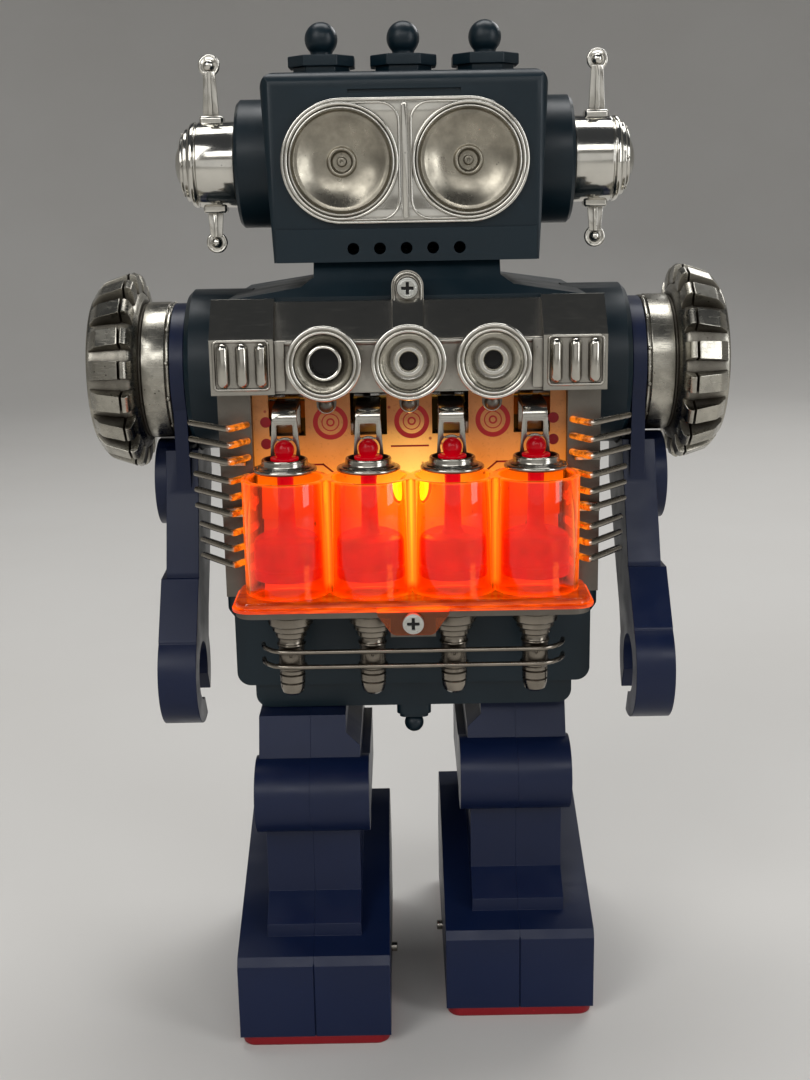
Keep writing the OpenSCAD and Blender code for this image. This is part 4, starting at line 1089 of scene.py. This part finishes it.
def shoulder_wheels():
    """Lugged wheel: a dished hub and two rows of flat-faced lugs with a groove between them."""
    inner, outer = wheel_low.x, wheel_high.x
    r = (wheel_high.z - wheel_low.z) / 2
    back = [(0, 0), (20.8, 0), (21.4, 0.4), (22.6, 0.9), (23.6, 1.9), (23.9, 3.0), (23.6, 7.0)]
    face = [(22.9, 2.2), (22.6, 0.9), (22.0, 0.3), (20.2, 0.1), (18.8, 0.8), (17.4, 2.9), (15.5, 3.4)]
    face += [(10.5, 3.7), (9.6, 3.4), (9.4, 1.6), (8.6, 0.9), (4.2, 0.7), (3.9, 1.3), (2.0, 1.3)]
    face += [(1.4, 0.8), (0, 0.7)]
    hub = [(radius, inner + depth) for radius, depth in back]
    hub += [(radius, outer - depth) for radius, depth in face]
    inner_lug = [(22.8, inner + 0.9), (25.4, inner + 1.0), (27.8, inner + 1.6), (r - 0.5, inner + 2.3),
                 (r - 0.25, inner + 3.0), (r - 0.5, inner + 3.5), (24.0, inner + 3.5)]
    outer_lug = [(24.0, inner + 4.1), (r - 0.45, inner + 4.1), (r - 0.55, inner + 4.5), (26.3, inner + 10.4),
                 (25.7, inner + 11.2), (23.6, outer - 1.4), (22.4, outer - 1.2)]
    rows = ((inner_lug, 2.3, 2.7), (outer_lug, 2.5, 2.75))
    for side, word in SIDES.items():
        parts = [placed(turned(hub, 108), turn=outward(side))]
        for i in range(LUGS):
            spin = Matrix.Rotation(2 * pi * i / LUGS, 4, "X")
            for lug, top, foot in rows:
                parts.append(placed(tooth([(side * x, radius) for radius, x in lug], top, foot), turn=spin))
        for i in range(6):
            spoke = [(side * (outer - 3.3), 10.2, 0), (side * (outer - 2.6), 16.2, 0)]
            parts.append(placed(rod(spoke, 0.8, 10), turn=Matrix.Rotation(2 * pi * i / 6 + 0.3, 4, "X")))
        piece(f"wheel_{word}", swung(merged(parts), side), f"arm_{word}", "worn_shade_plated",
              [f"shoulder_wheel_{word}"], 0.16, flat=True)


def shoulder_drums():
    """Plated drum with a stepped rim and a row of small pips beside the arm's disc."""
    inner, outer = drum_inner_x, wheel_low.x
    r = 20.0
    profile = [(3.6, inner), (r - 0.6, inner), (r - 0.2, inner + 0.3), (r - 0.2, inner + 0.9)]
    profile += [(r - 0.5, inner + 1.1), (r, inner + 1.5), (r, outer - 1.1), (r - 0.5, outer - 0.7)]
    profile += [(r - 0.5, outer), (3.6, outer)]
    for side, word in SIDES.items():
        parts = [placed(turned(profile, 96), turn=outward(side))]
        for i in range(12):
            tip = Matrix.Rotation(radians(30 * i + 15), 4, "X")
            pip = turned([(0, -0.9), (0.75, -0.9), (0.75, -0.1)] + dome(0.72, 0.55)[1:], 14)
            pip = placed(pip, (side * (inner + 0.75), 0, r - 0.35))
            parts.append(placed(pip, turn=tip))
        piece(f"drum_{word}", swung(merged(parts), side), f"arm_{word}", "worn_shade_plated",
              [f"shoulder_drum_{word}"], 0.15)


# ---- CAD nodes that stay ----

KEPT = [
    ("slate_plastic", 0.8, ["head_front", "head_rear", "torso_front", "torso_rear"]),
    ("slate_plastic", 0.7, ["hip_plate"]),
    ("slate_plastic", 0.35, ["head_knobs", "battery_door"]),
    ("slate_plastic", 0.3, ["switch_knob"]),
    ("navy_plastic", 0.9, ["arm_left", "arm_right"]),
    ("navy_plastic", 0.8, ["leg_left_outer", "leg_left_inner", "leg_right_outer", "leg_right_inner"]),
    ("red_sole", 0.6, ["sole_left", "sole_right"]),
    ("frame_plated", 0.3, ["engine_frame"]),
    ("printed_card", 0.1, ["engine_card"]),
    ("zinc_steel", 0.1, ["rocker_shaft", "battery_contacts"]),
    ("zinc_steel", 0.2, ["arm_shaft_left", "arm_shaft_right", "chassis"]),
    ("zinc_steel", 0.4, ["motor"]),
    ("zinc_steel", 0.0, ["camshaft"]),
    ("nylon", 0.0, ["motor_pinion", "reduction_gear", "crankshaft", "idler_gear"]),
    ("cell_sleeve", 0.5, ["batteries"]),
    ("fibre", 0.2, ["lamp_socket"]),
    ("roller_black", 0.3, [f"roller_{word}_{end}" for word in SIDES.values() for end in ("front", "rear")]),
]
for finish, width, nodes in KEPT:
    for node in nodes:
        keep(node, finish, width, 3 if width > 0.5 else 2)

eye_bezel()
eye_dishes()
ear_pods()
aerials()
intake_horns()
engine_trim()
card_print()
cylinder_block()
fins()
exhaust_stacks()
pistons()
rockers()
lamp_bulb()
screws()
shoulder_wheels()
shoulder_drums()

# ---- Studio ----


def studio_material():
    f = Finish("studio_floor", Roughness=0.85)
    base = f.mix(f.noise(180, 3), srgb(206, 203, 198), srgb(214, 212, 208))
    f.bump(f.noise(1.5, 2), 0.05, 0.05)
    return f.feed(Base_Color=base)


def bowl():
    """Pale floor that curves up all round into a low wall."""
    flat, radius, height = 1300, 900, 1450
    line = [(0, 0)] + arc(flat, radius, radius, -90, 0, 20) + [(flat + radius, height)]
    floor = as_object("floor", turned(line, 96), studio_material())
    floor.data.polygons.foreach_set("use_smooth", [True] * len(floor.data.polygons))


def softbox(name, where, target, size, power, colour=(1, 1, 1)):
    light = bpy.data.lights.new(name, "AREA")
    light.shape = "RECTANGLE"
    light.size, light.size_y = size
    light.energy = power
    light.color = colour
    lamp_object = bpy.data.objects.new(name, light)
    lamp_object.location = where
    lamp_object.rotation_euler = (Vector(target) - Vector(where)).to_track_quat("-Z", "Y").to_euler()
    bpy.context.scene.collection.objects.link(lamp_object)


def lights():
    heart = (0, 0, 0.16)
    softbox("key", (-0.75, -0.95, 0.95), heart, (0.6, 0.9), 6.5)
    softbox("front", (0.1, -1.2, 0.92), heart, (1.1, 0.3), 3.6)
    softbox("low_front", (0.0, -1.6, 0.32), heart, (1.7, 0.6), 1.5)
    softbox("fill", (1.0, -0.7, 0.5), heart, (0.4, 0.9), 4.5, (0.95, 0.97, 1.0))
    softbox("top", (0.0, 0.3, 1.3), heart, (1.1, 0.5), 9)
    softbox("rim", (0.7, 1.0, 0.9), heart, (0.7, 0.4), 4)
    world = bpy.data.worlds.new("studio")
    world.use_nodes = True
    world.node_tree.nodes["Background"].inputs["Color"].default_value = (0.62, 0.66, 0.72, 1)
    world.node_tree.nodes["Background"].inputs["Strength"].default_value = 0.08
    bpy.context.scene.world = world
    bpy.context.scene.view_settings.view_transform = "Standard"


def camera():
    view = bpy.data.cameras.new("camera")
    view.lens = 46.67
    view.clip_start = 0.01
    eye = bpy.data.objects.new("camera", view)
    eye.location = (-0.0018, -0.4043, 0.2395)
    tilt = Matrix.Rotation(radians(76), 4, "X") @ Matrix.Rotation(radians(-1), 4, "Z")
    eye.rotation_euler = tilt.to_euler()
    bpy.context.scene.collection.objects.link(eye)
    bpy.context.scene.camera = eye


bowl()
lights()
camera()
